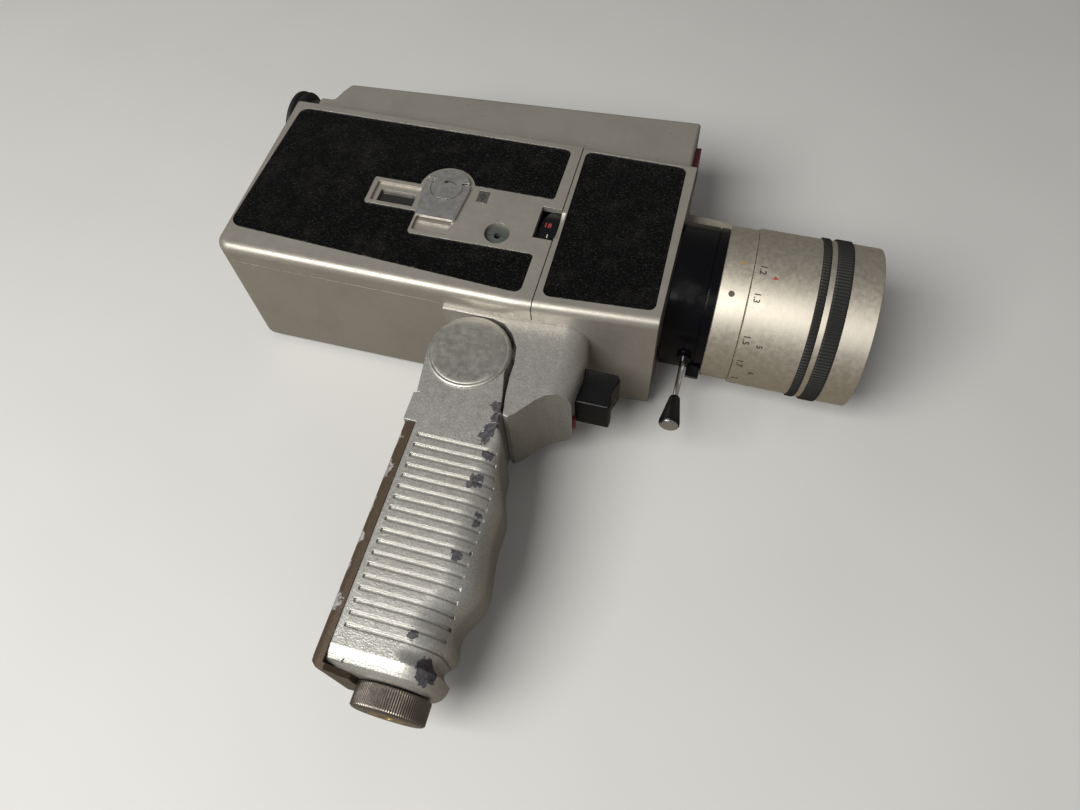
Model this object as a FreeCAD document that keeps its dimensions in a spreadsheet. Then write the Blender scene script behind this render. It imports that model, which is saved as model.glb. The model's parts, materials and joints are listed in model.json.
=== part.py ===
import FreeCAD, Part
import math
import os
import Sketcher

# Hand-held Super 8 cine camera with an eight-times zoom and a folding grip.
# Millimetres.  +X points out of the lens, +Y to the operator's left, +Z up.
# The origin is the mouth of the tripod socket under the grip's foot knob.

Vector = FreeCAD.Vector
doc = FreeCAD.newDocument("cine_camera")
sheet = doc.addObject("Spreadsheet::Sheet", "dims")


class Dim:
    """A size that knows both its number and its formula in the sheet."""

    def __init__(self, value, text):
        self.value = float(value)
        self.text = text

    @property
    def driven(self):
        return "dims." in self.text

    def __add__(self, other):
        other = dim(other)
        return Dim(self.value + other.value, "(%s + %s)" % (self.text, other.text))

    def __sub__(self, other):
        other = dim(other)
        return Dim(self.value - other.value, "(%s - %s)" % (self.text, other.text))

    def __rsub__(self, other):
        return dim(other) - self

    def __mul__(self, other):
        other = dim(other)
        return Dim(self.value * other.value, "(%s * %s)" % (self.text, other.text))

    def __truediv__(self, other):
        other = dim(other)
        return Dim(self.value / other.value, "(%s / %s)" % (self.text, other.text))

    def __neg__(self):
        return Dim(-self.value, "(-%s)" % self.text)


def dim(value):
    if isinstance(value, Dim):
        return value
    return Dim(value, "(%s)" % repr(round(float(value), 6)))


sheet_row = 0


def size(alias, value):
    """Put one driving dimension in the sheet and hand it back."""
    global sheet_row
    sheet_row += 1
    sheet.set("A%d" % sheet_row, alias)
    sheet.set("B%d" % sheet_row, repr(float(value)))
    sheet.setAlias("B%d" % sheet_row, alias)
    return Dim(value, "dims.%s" % alias)


# ---------------------------------------------------------------- dimensions
# Endings: _x, _y, _z are places on an axis, _r is a radius.
# body
rear_x = size("body_rear_x", -122.2)
split_x = size("door_split_x", 8.9)
front_x = size("body_front_x", 56.3)
top_z = size("body_top_z", 229.0)
bottom_z = size("body_bottom_z", 145.7)
rise = size("nose_rise", 3.6)
taper_x = size("nose_taper_x", 2.0)
door_y = size("door_face_y", -30.0)
seam_y = size("door_seam_y", -21.4)
nose_y = size("nose_left_y", 30.0)
cover_in = size("cover_seam_y", 27.0)
cover_out = size("cover_face_y", 32.4)
wall = size("shell_wall", 2.2)
leather = size("leather_thick", 0.6)
shut_gap = size("shut_gap", 0.1)
run_gap = size("running_gap", 0.03)
# top housing and eyepiece
house_y = size("housing_half_width", 20.0)
eye_z = size("eyepiece_axis_z", 244.5)
eye_r = size("eyepiece_tube_radius", 9.6)
# door fittings
latch_x = size("latch_axis_x", -39.6)
latch_z = size("latch_axis_z", 194.2)
hub_r = size("latch_hub_radius", 6.4)
boss_r = size("latch_boss_radius", 11.5)
latch_pin_r = size("latch_spindle_radius", 3.0)
socket_x = size("socket_axis_x", -13.2)
socket_z = size("socket_axis_z", 177.0)
dial_x = size("dial_axis_x", 14.2)
dial_z = size("dial_axis_z", 186.2)
dial_r = size("dial_radius", 13.0)
dial_pin_r = size("dial_spindle_radius", 1.5)
# lens
lens_z = size("lens_axis_z", 187.1)
tube_r = size("lens_tube_radius", 25.0)
tube_bore = size("lens_tube_bore", 22.6)
zoom_r = size("zoom_ring_radius", 29.2)
zoom_rear = size("zoom_ring_rear_x", 57.0)
zoom_front = size("zoom_ring_front_x", 74.6)
index_r = size("index_ring_radius", 30.7)
index_front = size("index_ring_front_x", 85.7)
focus_rear = size("focus_rear_x", 85.9)
focus_front = size("focus_front_x", 132.4)
focus_r = size("focus_radius", 31.5)
filter_r = size("filter_thread_radius", 29.0)
filter_deep = size("filter_thread_depth", 4.0)
lever_x = size("zoom_lever_x", 67.3)
lever_r = size("zoom_lever_radius", 1.1)
# mechanism
motor_y = size("motor_axis_y", 10.5)
motor_z = size("motor_axis_z", 162.0)
motor_r = size("motor_radius", 10.4)
pulley_r = size("motor_pulley_radius", 2.6)
shutter_z = size("shutter_axis_z", 168.0)
shutter_pin_r = size("shutter_spindle_radius", 2.0)
shutter_pulley_r = size("shutter_pulley_radius", 6.0)
takeup_x = size("takeup_axis_x", -62.0)
takeup_r = size("takeup_spindle_radius", 3.0)
# grip
fold_x = size("fold_axis_x", -10.2)
fold_z = size("fold_axis_z", 127.7)
fold_pin_r = size("fold_axle_radius", 4.0)
disc_r = size("fold_disc_radius", 15.6)
head_r = size("grip_head_radius", 15.9)
grip_y = size("grip_half_width", 20.2)
cell_r = size("cell_radius", 7.2)
cell_tall = size("cell_height", 50.3)
groove_pitch = size("groove_pitch", 4.06)
groove_wide = size("groove_width", 1.3)
groove_low = size("groove_first_z", 21.5)
knob_r = size("foot_knob_radius", 12.7)
knob_tall = size("foot_knob_height", 8.5)
thread_r = size("tripod_hole_radius", 3.225)
thread_deep = size("tripod_hole_depth", 9.0)
bush_r = size("tripod_bush_radius", 5.0)
doc.recompute()


def bottom_at(x):
    """Height of the body's underside, which rises toward the front from taper_x on."""
    return bottom_z + rise * (x - taper_x) / (front_x - taper_x)


# derived places
inner_floor = bottom_z + 2.6
nose_bottom = bottom_z + rise
nose_floor = nose_bottom + 2.8
ceiling = top_z - wall
nose_inner_x = front_x - 2.6

# screw places and the leatherette outlines that several pieces share
bracket_screw_at = [(x, y) for x in (-13.5, -1.5) for y in (-14.0, 14.0)]
bracket_hole_r = 1.55
cover_screw_at = [(x, z) for x in (-112.0, 0.0) for z in (219.5, 157.0)]
# (x, z, corner radius), anticlockwise in the x-z plane
nose_recess = [(10.6, 227.3, 3.0), (11.5, 152.1, 3.0), (53.8, 155.0, 3.0), (52.4, 227.1, 3.0)]
cover_recess = [(-117.0, 224.6, 3.0), (-117.0, 151.8, 3.0), (5.0, 151.8, 3.0), (5.0, 224.6, 3.0)]
door_recess = [
    (-117.1, 225.7, 4.0), (-120.0, 157.0, 5.0), (3.4, 151.2, 3.0), (3.6, 170.3, 1.6),
    (-48.2, 169.3, 1.6), (-48.2, 180.6), (-70.7, 180.6, 0.8), (-70.7, 194.5, 0.8),
    (-48.0, 194.5), (-48.0, 198.6), (4.2, 198.6, 1.6), (4.6, 226.6, 3.0)]
skin_gap = 0.05


# ------------------------------------------------------------------- helpers
def bind(obj, prop, value):
    value = dim(value)
    if value.driven:
        obj.setExpression(prop, value.text)
    else:
        setattr(obj, prop, value.value)


def place(obj, *position):
    for axis, value in zip("xyz", position):
        value = dim(value)
        if value.value or value.driven:
            obj.setExpression("Placement.Base.%s" % axis, value.text)


def new_sketch(body, plane, offset):
    role = plane + "_Plane"
    support = next(item for item in body.Origin.OriginFeatures if item.Role == role)
    sketch = body.newObject("Sketcher::SketchObject", "sketch")
    sketch.AttachmentSupport = [(support, "")]
    sketch.MapMode = "FlatFace"
    offset = dim(offset)
    base = Vector(0, 0, offset.value)
    sketch.AttachmentOffset = FreeCAD.Placement(base, FreeCAD.Rotation())
    if offset.driven:
        sketch.setExpression("AttachmentOffset.Base.z", offset.text)
    return sketch


def constrain(sketch, value, *reference):
    """Add a dimensional constraint, bound to the sheet if its value is."""
    index = sketch.addConstraint(Sketcher.Constraint(*reference, value.value))
    if value.driven:
        sketch.setExpression("Constraints[%d]" % index, value.text)


def pin_point(sketch, geometry, point, x, y):
    constrain(sketch, x, "DistanceX", -1, 1, geometry, point)
    constrain(sketch, y, "DistanceY", -1, 1, geometry, point)


def draw_outline(sketch, corners):
    """Closed outline; a corner (x, y, radius) is rounded with a tangent arc."""
    corners = [tuple(dim(value) for value in corner) for corner in corners]
    places = [Vector(corner[0].value, corner[1].value, 0) for corner in corners]
    count = len(corners)
    ends = []  # per corner: end of the side before, start of the side after, arc centre
    for i, corner in enumerate(corners):
        here = places[i]
        if len(corner) == 2:
            ends.append((here, here, None))
            continue
        to_last = places[i - 1] - here
        to_next = places[(i + 1) % count] - here
        to_last.normalize()
        to_next.normalize()
        radius = corner[2].value
        half = math.acos(max(-1.0, min(1.0, to_last.dot(to_next)))) / 2.0
        setback = radius / math.tan(half)
        inward = to_last + to_next
        inward.normalize()
        centre = here + inward * (radius / math.sin(half))
        ends.append((here + to_last * setback, here + to_next * setback, centre))
    sides = []
    for i in range(count):
        side = Part.LineSegment(ends[i][1], ends[(i + 1) % count][0])
        sides.append(sketch.addGeometry(side, False))
    for i, corner in enumerate(corners):
        before, after = sides[i - 1], sides[i]
        if len(corner) == 2:
            sketch.addConstraint(Sketcher.Constraint("Coincident", before, 2, after, 1))
            pin_point(sketch, after, 1, *corner)
            continue
        start, end, centre = ends[i]
        angle_in = math.atan2(start.y - centre.y, start.x - centre.x)
        angle_out = math.atan2(end.y - centre.y, end.x - centre.x)
        sweep = (angle_out - angle_in) % (2 * math.pi)
        first, last = 1, 2
        # an arc always runs anticlockwise, so a clockwise corner swaps its ends
        if sweep > math.pi:
            angle_in, sweep = angle_out, 2 * math.pi - sweep
            first, last = 2, 1
        circle = Part.Circle(centre, Vector(0, 0, 1), corner[2].value)
        arc = sketch.addGeometry(Part.ArcOfCircle(circle, angle_in, angle_in + sweep), False)
        tip = sketch.addGeometry(Part.Point(places[i]), True)
        pin_point(sketch, tip, 1, *corner[:2])
        sketch.addConstraint(Sketcher.Constraint("Tangent", before, 2, arc, first))
        sketch.addConstraint(Sketcher.Constraint("Tangent", arc, last, after, 1))
        sketch.addConstraint(Sketcher.Constraint("PointOnObject", tip, 1, before))
        sketch.addConstraint(Sketcher.Constraint("PointOnObject", tip, 1, after))
        constrain(sketch, corner[2], "Radius", arc)


def draw_circles(sketch, circles):
    for circle in circles:
        x, y, radius = (dim(value) for value in circle)
        shape = Part.Circle(Vector(x.value, y.value, 0), Vector(0, 0, 1), radius.value)
        index = sketch.addGeometry(shape, False)
        pin_point(sketch, index, 3, x, y)
        constrain(sketch, radius, "Radius", index)


def rect(x0, y0, x1, y1, radius=None):
    rounding = () if radius is None else (radius,)
    return [corner + rounding for corner in ((x0, y0), (x1, y0), (x1, y1), (x0, y1))]


def inset(corners, step):
    """Move each side of an anticlockwise outline inward; sides run nearly along the axes."""
    moved = [list(corner) for corner in corners]
    for i, start in enumerate(corners):
        j = (i + 1) % len(corners)
        along_x = corners[j][0] - start[0]
        along_y = corners[j][1] - start[1]
        for corner in (moved[i], moved[j]):
            if abs(along_x) > abs(along_y):
                corner[1] += math.copysign(step, along_x)
            else:
                corner[0] -= math.copysign(step, along_y)
    return moved


def new_body(name, x=0, y=0, z=0):
    body = doc.addObject("PartDesign::Body", name)
    place(body, x, y, z)
    return body


def slab(body, kind, plane, low, high, outline, circles):
    """Pad or pocket between low and high along the axis normal to the plane.

    Columns of an outline: XZ (x, z), YZ (y, z), XY (x, y), then a corner radius if any.
    Columns of circles: the same two, then the radius.
    """
    low, high = dim(low), dim(high)
    # a pad grows along the sketch normal, a pocket against it; XZ's normal is -Y
    if kind == "PartDesign::Pad":
        offset = -high if plane == "XZ" else low
    else:
        offset = -low if plane == "XZ" else high
    sketch = new_sketch(body, plane, offset)
    if outline:
        draw_outline(sketch, outline)
    if circles:
        draw_circles(sketch, circles)
    feature = body.newObject(kind, "slab")
    feature.Profile = sketch
    bind(feature, "Length", high - low)
    doc.recompute()
    return feature


def add(body, plane, low, high, outline=None, circles=None):
    return slab(body, "PartDesign::Pad", plane, low, high, outline, circles)


def cut(body, plane, low, high, outline=None, circles=None):
    before = body.Shape.Volume
    slab(body, "PartDesign::Pocket", plane, low, high, outline, circles)
    if body.Shape.Volume >= before - 1e-6:
        raise RuntimeError("a pocket in %s removed nothing" % body.Label)


TURN_AXIS = {"X": ("XZ", "H_Axis"), "Y": ("XY", "V_Axis"), "Z": ("XZ", "V_Axis")}


def turned(name, axis, profile, x=0, y=0, z=0, angle=360.0):
    """A new body turned about an axis through (x, y, z).

    Columns of a profile: about X (x, radius), about Y (radius, y), about Z (radius, z).
    """
    body = new_body(name, x, y, z)
    plane, sketch_axis = TURN_AXIS[axis]
    sketch = new_sketch(body, plane, 0)
    draw_outline(sketch, profile)
    feature = body.newObject("PartDesign::Revolution", "turned")
    feature.Profile = sketch
    feature.ReferenceAxis = (sketch, [sketch_axis])
    feature.Angle = angle
    if angle < 360.0:
        feature.Midplane = True
    doc.recompute()
    return body


def lens_turned(name, profile, angle=360.0):
    return turned(name, "X", profile, z=lens_z, angle=angle)


def eye_turned(name, profile):
    return turned(name, "X", profile, z=eye_z)


def reach(edge, axis):
    """Least and greatest coordinate of five points along an edge."""
    step = (edge.LastParameter - edge.FirstParameter) / 4.0
    points = [edge.valueAt(edge.FirstParameter + step * k) for k in range(5)]
    values = [getattr(point, axis) for point in points]
    return min(values), max(values)


def on_face(edge, *faces):
    """True if the edge lies at one of the given y."""
    low, high = reach(edge, "y")
    return any(abs(low - dim(y).value) < 0.01 and abs(high - dim(y).value) < 0.01 for y in faces)


def span(edge, axis):
    low, high = reach(edge, axis)
    return high - low


def runs_low(edge):
    """True for a lengthwise edge of the body's underside."""
    return reach(edge, "z")[1] < nose_bottom.value + 2.0 and span(edge, "x") > 6


def round_edges(body, radius, test):
    tip = body.Tip
    names = ["Edge%d" % (i + 1) for i, edge in enumerate(tip.Shape.Edges)
             if edge.Length > 1e-4 and test(edge)]
    if not names:
        raise RuntimeError("no edges found to round in %s" % body.Label)
    fillet = body.newObject("PartDesign::Fillet", "rounding")
    fillet.Base = (tip, names)
    bind(fillet, "Radius", radius)
    doc.recompute()


def box(name, low, high):
    obj = doc.addObject("Part::Box", name)
    for prop, start, end in zip(("Length", "Width", "Height"), low, high):
        bind(obj, prop, dim(end) - start)
    place(obj, *low)
    return obj


def rod(name, start, direction, radius, length):
    obj = doc.addObject("Part::Cylinder", name)
    bind(obj, "Radius", radius)
    bind(obj, "Height", length)
    turn = FreeCAD.Rotation(Vector(0, 0, 1), Vector(*direction))
    obj.Placement = FreeCAD.Placement(Vector(0, 0, 0), turn)
    place(obj, *start)
    return obj


def group(name, items):
    obj = doc.addObject("Part::Compound", name)
    obj.Links = items
    return obj


def fuse(name, items):
    obj = doc.addObject("Part::MultiFuse", name)
    obj.Shapes = items
    return obj


def minus(name, base, tool):
    obj = doc.addObject("Part::Cut", name)
    obj.Base = base
    obj.Tool = tool
    doc.recompute()
    return obj


BUILDERS = []


def piece(build):
    """Register the builder of one piece; its name names the object and the file."""
    BUILDERS.append(build)
    return build


# ---------------------------------------------------------------- body shell
@piece
def body_shell(name):
    body = new_body(name)
    joint_x = split_x + shut_gap
    # the nose runs from the door's face to the left side
    add(body, "XZ", door_y, nose_y, [
        (joint_x, bottom_at(joint_x)), (front_x, nose_bottom), (front_x, top_z),
        (joint_x, top_z)])
    round_edges(body, 3.6, lambda edge: on_face(edge, door_y, nose_y) and runs_low(edge))
    round_edges(body, 1.2, lambda edge: (
        on_face(edge, door_y, nose_y) and reach(edge, "z")[0] > top_z.value - 0.1
        and span(edge, "x") > 6))
    # the rear half lies between the film door and the left cover
    add(body, "XZ", seam_y, cover_in, [
        (rear_x, bottom_z, 6.0), (taper_x, bottom_z), (joint_x, bottom_at(joint_x)),
        (joint_x, top_z), (rear_x, top_z, 0.6)])
    # main hollow, open to the film door and to the left cover
    cut(body, "XZ", seam_y, cover_in, [
        (rear_x + wall, inner_floor, 4.0), (taper_x, inner_floor), (nose_inner_x, nose_floor),
        (nose_inner_x, ceiling), (rear_x + wall, ceiling, 2.0)])
    # hollow of the nose between its two side walls
    cut(body, "XZ", door_y + 2.5, nose_y - 2.5,
        rect(split_x - 1.0, nose_floor, nose_inner_x, ceiling))
    # opening for the lens tube
    cut(body, "YZ", front_x - 5.0, front_x + 1.0, circles=[(0, lens_z, tube_r)])
    # light path up to the finder
    cut(body, "XY", top_z - 5.0, top_z + 1.0, rect(28.0, -8.0, 46.0, 8.0))
    # finger notch for the speed dial in the nose's rear edge
    cut(body, "YZ", split_x, split_x + 1.6, circles=[(door_y - 10.0, dial_z, 12.0)])
    # leatherette recess in the nose's right side
    cut(body, "XZ", door_y - 1.0, door_y + leather, nose_recess)
    cut(body, "XY", bottom_z - 1.0, bottom_z + 8.0,
        circles=[(x, y, bracket_hole_r) for x, y in bracket_screw_at])
    return body


@piece
def front_leatherette(name):
    body = new_body(name)
    add(body, "XZ", door_y + 0.1, door_y + leather, inset(nose_recess, skin_gap))
    return body


# ---------------------------------------------------------------- left cover
@piece
def left_cover(name):
    body = new_body(name)
    add(body, "XZ", cover_in, cover_out, [
        (rear_x, bottom_z, 6.0), (split_x, bottom_at(split_x)), (split_x, top_z),
        (rear_x, top_z)])
    # all outer edges but the one at the nose
    round_edges(body, 2.6, lambda edge: (
        on_face(edge, cover_out) and (reach(edge, "x")[1] < 8.8 or runs_low(edge))))
    cut(body, "XZ", cover_in, cover_out - 2.4,
        rect(rear_x + 4.0, bottom_z + 4.0, split_x - 2.0, top_z - 3.0, 3.0))
    cut(body, "XZ", cover_out - leather, cover_out + 0.5, cover_recess)
    cut(body, "XZ", cover_in - 0.2, cover_out + 0.5,
        circles=[(x, z, 1.35) for x, z in cover_screw_at])
    return body


@piece
def left_leatherette(name):
    body = new_body(name)
    add(body, "XZ", cover_out - leather, cover_out - 0.1, inset(cover_recess, skin_gap))
    # clearance round the screw heads
    cut(body, "XZ", cover_out - 2.0, cover_out + 0.5,
        circles=[(x, z, 2.3) for x, z in cover_screw_at])
    return body


@piece
def cover_screws(name):
    """Slotted screws; their y is measured from the cover's face."""
    screws = []
    for i, (x, z) in enumerate(cover_screw_at):
        screw = turned("cover_screw%d" % i, "Y", [
            (0, -8.0), (1.3, -8.0), (1.3, -leather), (2.2, -leather), (2.2, 0.0), (1.4, 0.5),
            (0, 0.5)], x, cover_out, z)
        cut(screw, "XZ", 0.1, 1.0, rect(-2.4, -0.3, 2.4, 0.3))
        screws.append(screw)
    return group(name, screws)


# -------------------------------------------------------------- top housing
@piece
def top_housing(name):
    body = new_body(name)
    add(body, "XZ", -house_y, house_y, [
        (-119.1, top_z), (53.4, top_z), (52.9, 265.0, 1.2), (-108.1, 255.2, 2.0),
        (-110.8, 250.0, 2.0), (-112.6, 244.2, 2.0), (-119.1, 244.0, 1.5)])
    round_edges(body, 1.6, lambda edge: (
        on_face(edge, house_y, -house_y) and reach(edge, "z")[0] > top_z.value + 0.5))
    cut(body, "XZ", -house_y + 1.8, house_y - 1.8, [
        (-117.2, top_z - 0.5), (51.4, top_z - 0.5), (51.1, 262.9), (-106.6, 253.3),
        (-109.2, 247.8), (-111.2, 242.2), (-117.2, 242.1)])
    # window over the meter at the front, finder port at the rear
    cut(body, "YZ", 49.0, 56.0, rect(-14.5, 244.0, 6.5, 256.0, 1.0))
    cut(body, "YZ", -121.0, -105.0, circles=[(0.0, eye_z, eye_r)])
    return body


@piece
def front_window(name):
    body = new_body(name)
    add(body, "YZ", 50.6, 55.4, rect(-14.4, 244.1, 6.4, 255.9, 0.9))
    return body


# -------------------------------------------------------------------- finder
@piece
def eyepiece_tube(name):
    return eye_turned(name, [(-126.5, 6.6), (-106.5, 6.6), (-106.5, eye_r), (-126.5, eye_r)])


@piece
def diopter_ring(name):
    return eye_turned(name, [
        (-129.5, eye_r + run_gap), (-122.4, eye_r + run_gap), (-122.4, 11.6), (-122.8, 12.0),
        (-129.1, 12.0), (-129.5, 11.6)])


@piece
def eyecup(name):
    return eye_turned(name, [
        (-133.4, 9.4), (-129.5, 9.4), (-129.5, 12.4), (-130.2, 14.3), (-131.3, 15.2),
        (-132.2, 15.0), (-132.8, 14.0), (-133.4, 14.0), (-134.0, 15.2), (-135.3, 15.4),
        (-136.2, 14.4), (-135.4, 12.0), (-134.4, 10.2)])


@piece
def eyepiece_lens(name):
    return eye_turned(name, [
        (-125.8, 0), (-121.4, 0), (-121.9, 3.5), (-122.6, 6.55), (-124.6, 6.55), (-125.4, 3.5)])


@piece
def finder_mirror(name):
    body = new_body(name)
    add(body, "XZ", -8.0, 8.0, [(28.5, 248.0), (30.0, 246.6), (43.5, 260.0), (42.0, 261.4)])
    return body


# ---------------------------------------------------------------------- lens
# Bodies made by lens_turned have their own z = 0 on the lens axis.
@piece
def lens_tube(name):
    """Tube with a flange behind the body's front wall."""
    return lens_turned(name, [
        (48.0, tube_bore), (99.5, tube_bore), (99.5, tube_r), (53.7, tube_r), (53.7, 27.5),
        (50.7, 27.5), (50.7, tube_r), (48.0, tube_r)])


@piece
def zoom_ring(name):
    body = lens_turned(name, [
        (zoom_rear, tube_r + run_gap), (zoom_front, tube_r + run_gap), (zoom_front, zoom_r),
        (zoom_front - 3.2, zoom_r), (zoom_front - 3.4, zoom_r - 0.5),
        (zoom_front - 3.8, zoom_r - 0.5), (zoom_front - 4.0, zoom_r),
        (zoom_rear + 0.3, zoom_r), (zoom_rear, zoom_r - 0.3)])
    # stop tab low on the ring's front edge
    add(body, "YZ", zoom_front - 5.5, zoom_front - 0.2, [
        (7.81, -26.7), (15.43, -23.15), (17.76, -28.13, 1.2), (10.14, -31.69, 1.2)])
    # boss that holds the lever
    add(body, "XY", -31.2, -27.5, circles=[(lever_x, 0, 2.9)])
    cut(body, "XY", -32.0, -27.0, circles=[(lever_x, 0, lever_r)])
    return body


@piece
def zoom_lever_rod(name):
    return turned(name, "Z", [
        (0, -61.6), (3.2, -61.6), (3.7, -61.2), (3.7, -60.6), (lever_r, -60.6),
        (lever_r, -27.2), (0, -27.2)], x=lever_x, z=lens_z)


@piece
def zoom_lever_knob(name):
    return turned(name, "Z", [
        (lever_r, -60.6), (4.0, -60.6), (4.0, -59.6), (2.1, -49.0), (1.8, -48.5),
        (lever_r, -48.5)], x=lever_x, z=lens_z)


def radial_rods(name, radius, length):
    """Three rods that run outward from 1.6 below the index ring's surface."""
    start = index_r - 1.6
    rods = []
    for i, angle in enumerate((-150.0, -30.0, 90.0)):
        across = math.cos(math.radians(angle))
        upward = math.sin(math.radians(angle))
        rods.append(rod("%s%d" % (name, i), (79.6, start * across, lens_z + start * upward),
                        (0, across, upward), radius, length))
    return rods


@piece
def index_ring(name):
    rear = zoom_front + 0.2
    blank = lens_turned("index_ring_blank", [
        (rear, tube_r), (index_front, tube_r), (index_front, index_r - 0.2),
        (index_front - 0.2, index_r), (rear + 0.3, index_r), (rear, index_r - 0.3)])
    return minus(name, blank, fuse("ring_holes", radial_rods("ring_hole", 1.15, 3.0)))


@piece
def index_ring_screws(name):
    """Radial screws that pin the ring to the tube."""
    return group(name, radial_rods("ring_screw", 1.1, 1.3))


@piece
def zoom_drive_cover(name):
    """Fairing of the zoom drive, a sector above the zoom ring."""
    return lens_turned(name, [
        (front_x, zoom_r + 0.5), (zoom_front + 0.2, zoom_r + 0.5), (zoom_front + 0.2, index_r),
        (84.0, index_r), (84.0, index_r + 0.5, 0.4), (70.0, 33.6), (front_x, 34.2)], angle=44.0)


# seats of the two rubber rings: (rear x, front x, height over the focus barrel)
rubber_seats = [(109.8, 113.0, 0.6), (115.1, 121.1, 0.8)]
seat_r = focus_r - 0.7


@piece
def focus_barrel(name):
    (rear_a, front_a, _), (rear_b, front_b, _) = rubber_seats
    thread_x = focus_front - filter_deep
    return lens_turned(name, [
        (focus_rear, tube_r + run_gap), (99.0, tube_r + run_gap), (99.0, 27.8),
        (thread_x - 3.0, 27.8), (thread_x - 3.0, 28.4), (thread_x, 28.4), (thread_x, filter_r),
        (focus_front, filter_r), (focus_front, focus_r), (focus_front - 0.3, focus_r + 0.2),
        (front_b, focus_r + 0.2), (front_b, seat_r), (rear_b, seat_r), (rear_b, focus_r + 0.1),
        (front_a, focus_r + 0.1), (front_a, seat_r), (rear_a, seat_r), (rear_a, focus_r),
        (focus_rear + 0.3, focus_r), (focus_rear, focus_r - 0.3)])


@piece
def rubber_rings(name):
    rings = []
    bevel = 0.3
    for i, (rear, front, proud) in enumerate(rubber_seats):
        outer = focus_r + proud
        rings.append(lens_turned("rubber_ring%d" % i, [
            (rear, seat_r), (front, seat_r), (front, outer - bevel), (front - bevel, outer),
            (rear + bevel, outer), (rear, outer - bevel)]))
    return group(name, rings)


@piece
def front_bezel(name):
    return lens_turned(name, [
        (125.4, 26.6), (128.2, 25.4), (128.4, 25.4), (128.4, 28.4), (125.4, 28.4)])


@piece
def front_lens(name):
    return lens_turned(name, [
        (113.0, 0), (126.6, 0), (125.9, 8.0), (123.9, 16.0), (120.8, 23.0), (118.6, 26.4),
        (115.0, 26.4), (113.6, 16.0)])


@piece
def front_cell(name):
    return lens_turned(name, [
        (114.8, 26.4), (125.4, 26.4), (125.4, 27.8), (102.0, 27.8), (102.0, 24.0),
        (104.0, 24.0), (112.6, 25.0), (112.6, 26.4)])


def mounted_lens(name, x, glass_r):
    """A lens and its cell, which slides in the lens tube."""
    outer = tube_bore - run_gap
    glass = lens_turned(name + "_glass", [
        (x + 0.6, 0), (x + 4.4, 0), (x + 5.6, glass_r), (x - 0.4, glass_r)])
    cell = lens_turned(name + "_cell", [
        (x - 1.4, glass_r), (x + 6.6, glass_r), (x + 6.6, outer), (x - 1.4, outer)])
    return group(name, [glass, cell])


@piece
def variator(name):
    return mounted_lens(name, 84.0, 15.0)


@piece
def compensator(name):
    return mounted_lens(name, 66.0, 12.0)


@piece
def relay_lens(name):
    return lens_turned(name, [(-2.0, 0), (5.0, 0), (6.0, 7.0), (-3.0, 7.0)])


@piece
def beam_splitter(name):
    body = new_body(name)
    add(body, "XZ", -8.0, 8.0, rect(30.0, lens_z - 8.0, 46.0, lens_z + 8.0))
    return body


# ----------------------------------------------------------------- mechanism
@piece
def mechanism_frame(name):
    body = new_body(name)
    # cross wall, lengthwise wall and shelf under the beam splitter
    add(body, "YZ", -21.0, -18.6, rect(-20.8, inner_floor, 27.0, ceiling))
    add(body, "XZ", 22.0, 24.0, rect(-18.7, inner_floor + 4.0, 46.0, ceiling - 3.0))
    add(body, "XY", lens_z - 12.0, lens_z - 8.0, rect(26.0, -8.0, 46.0, 22.5))
    # arm for the speed dial
    add(body, "XZ", -20.8, -19.4, rect(-19.0, 182.0, 18.4, 190.4))
    # boss for the relay lens and the web that carries it
    add(body, "YZ", -16.2, 9.0, circles=[(0, lens_z, 9.2)])
    add(body, "XZ", 7.0, 22.5, rect(-16.2, lens_z - 2.0, 9.0, lens_z + 2.0))
    # saddle for the motor
    add(body, "XZ", 19.0, 22.5, rect(4.0, 157.4, 28.0, 166.4))
    cut(body, "YZ", 3.0, 29.0, circles=[(motor_y, motor_z, motor_r)])
    cut(body, "YZ", -17.0, 10.0, circles=[(0.0, lens_z, 7.0)])
    # opening in the cross wall at the lens axis, then the shutter's bearing
    cut(body, "YZ", -22.0, -18.0, rect(-10.0, lens_z - 11.0, 8.0, lens_z + 8.0, 1.0))
    cut(body, "YZ", -22.0, -18.0, circles=[(0.0, shutter_z, shutter_pin_r + run_gap)])
    # side wall of the film chamber, with the bearing of the take-up spindle
    add(body, "XZ", 5.0, 6.6, rect(-115.5, inner_floor + 0.2, -20.5, ceiling - 0.2))
    cut(body, "XZ", 4.0, 8.0, circles=[(takeup_x, lens_z, takeup_r + run_gap)])
    # relief at the left edge of the film gate
    cut(body, "XZ", 4.0, 8.0, rect(-24.1, lens_z - 16.1, -21.0, lens_z + 16.1))
    return body


@piece
def film_gate(name):
    body = new_body(name)
    add(body, "YZ", -24.0, -21.0, rect(-11.0, lens_z - 16.0, 11.0, lens_z + 16.0, 1.5))
    # picture aperture and claw slot
    cut(body, "YZ", -25.0, -20.0, rect(-2.9, lens_z - 2.1, 2.9, lens_z + 2.1, 0.4))
    cut(body, "YZ", -25.0, -20.0, rect(-8.0, lens_z - 10.0, -6.0, lens_z - 3.0))
    return body


@piece
def film_claw(name):
    body = new_body(name)
    add(body, "XY", lens_z - 5.2, lens_z - 4.4, [
        (-25.0, -7.3), (-25.0, -6.7), (-20.0, -6.2), (-20.0, -7.8)])
    return body


@piece
def takeup_spindle(name):
    body = turned(name, "Y", [
        (0, -4.0), (3.6, -4.0), (4.4, -3.2), (4.4, 4.7), (takeup_r, 4.7), (takeup_r, 8.0),
        (9.0, 8.0), (9.0, 8.6), (8.2, 9.4), (9.0, 10.2), (9.0, 10.8), (0, 10.8)],
        x=takeup_x, z=lens_z)
    cut(body, "XZ", -5.0, -1.5, rect(-0.7, -5.0, 0.7, 5.0))
    return body


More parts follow.
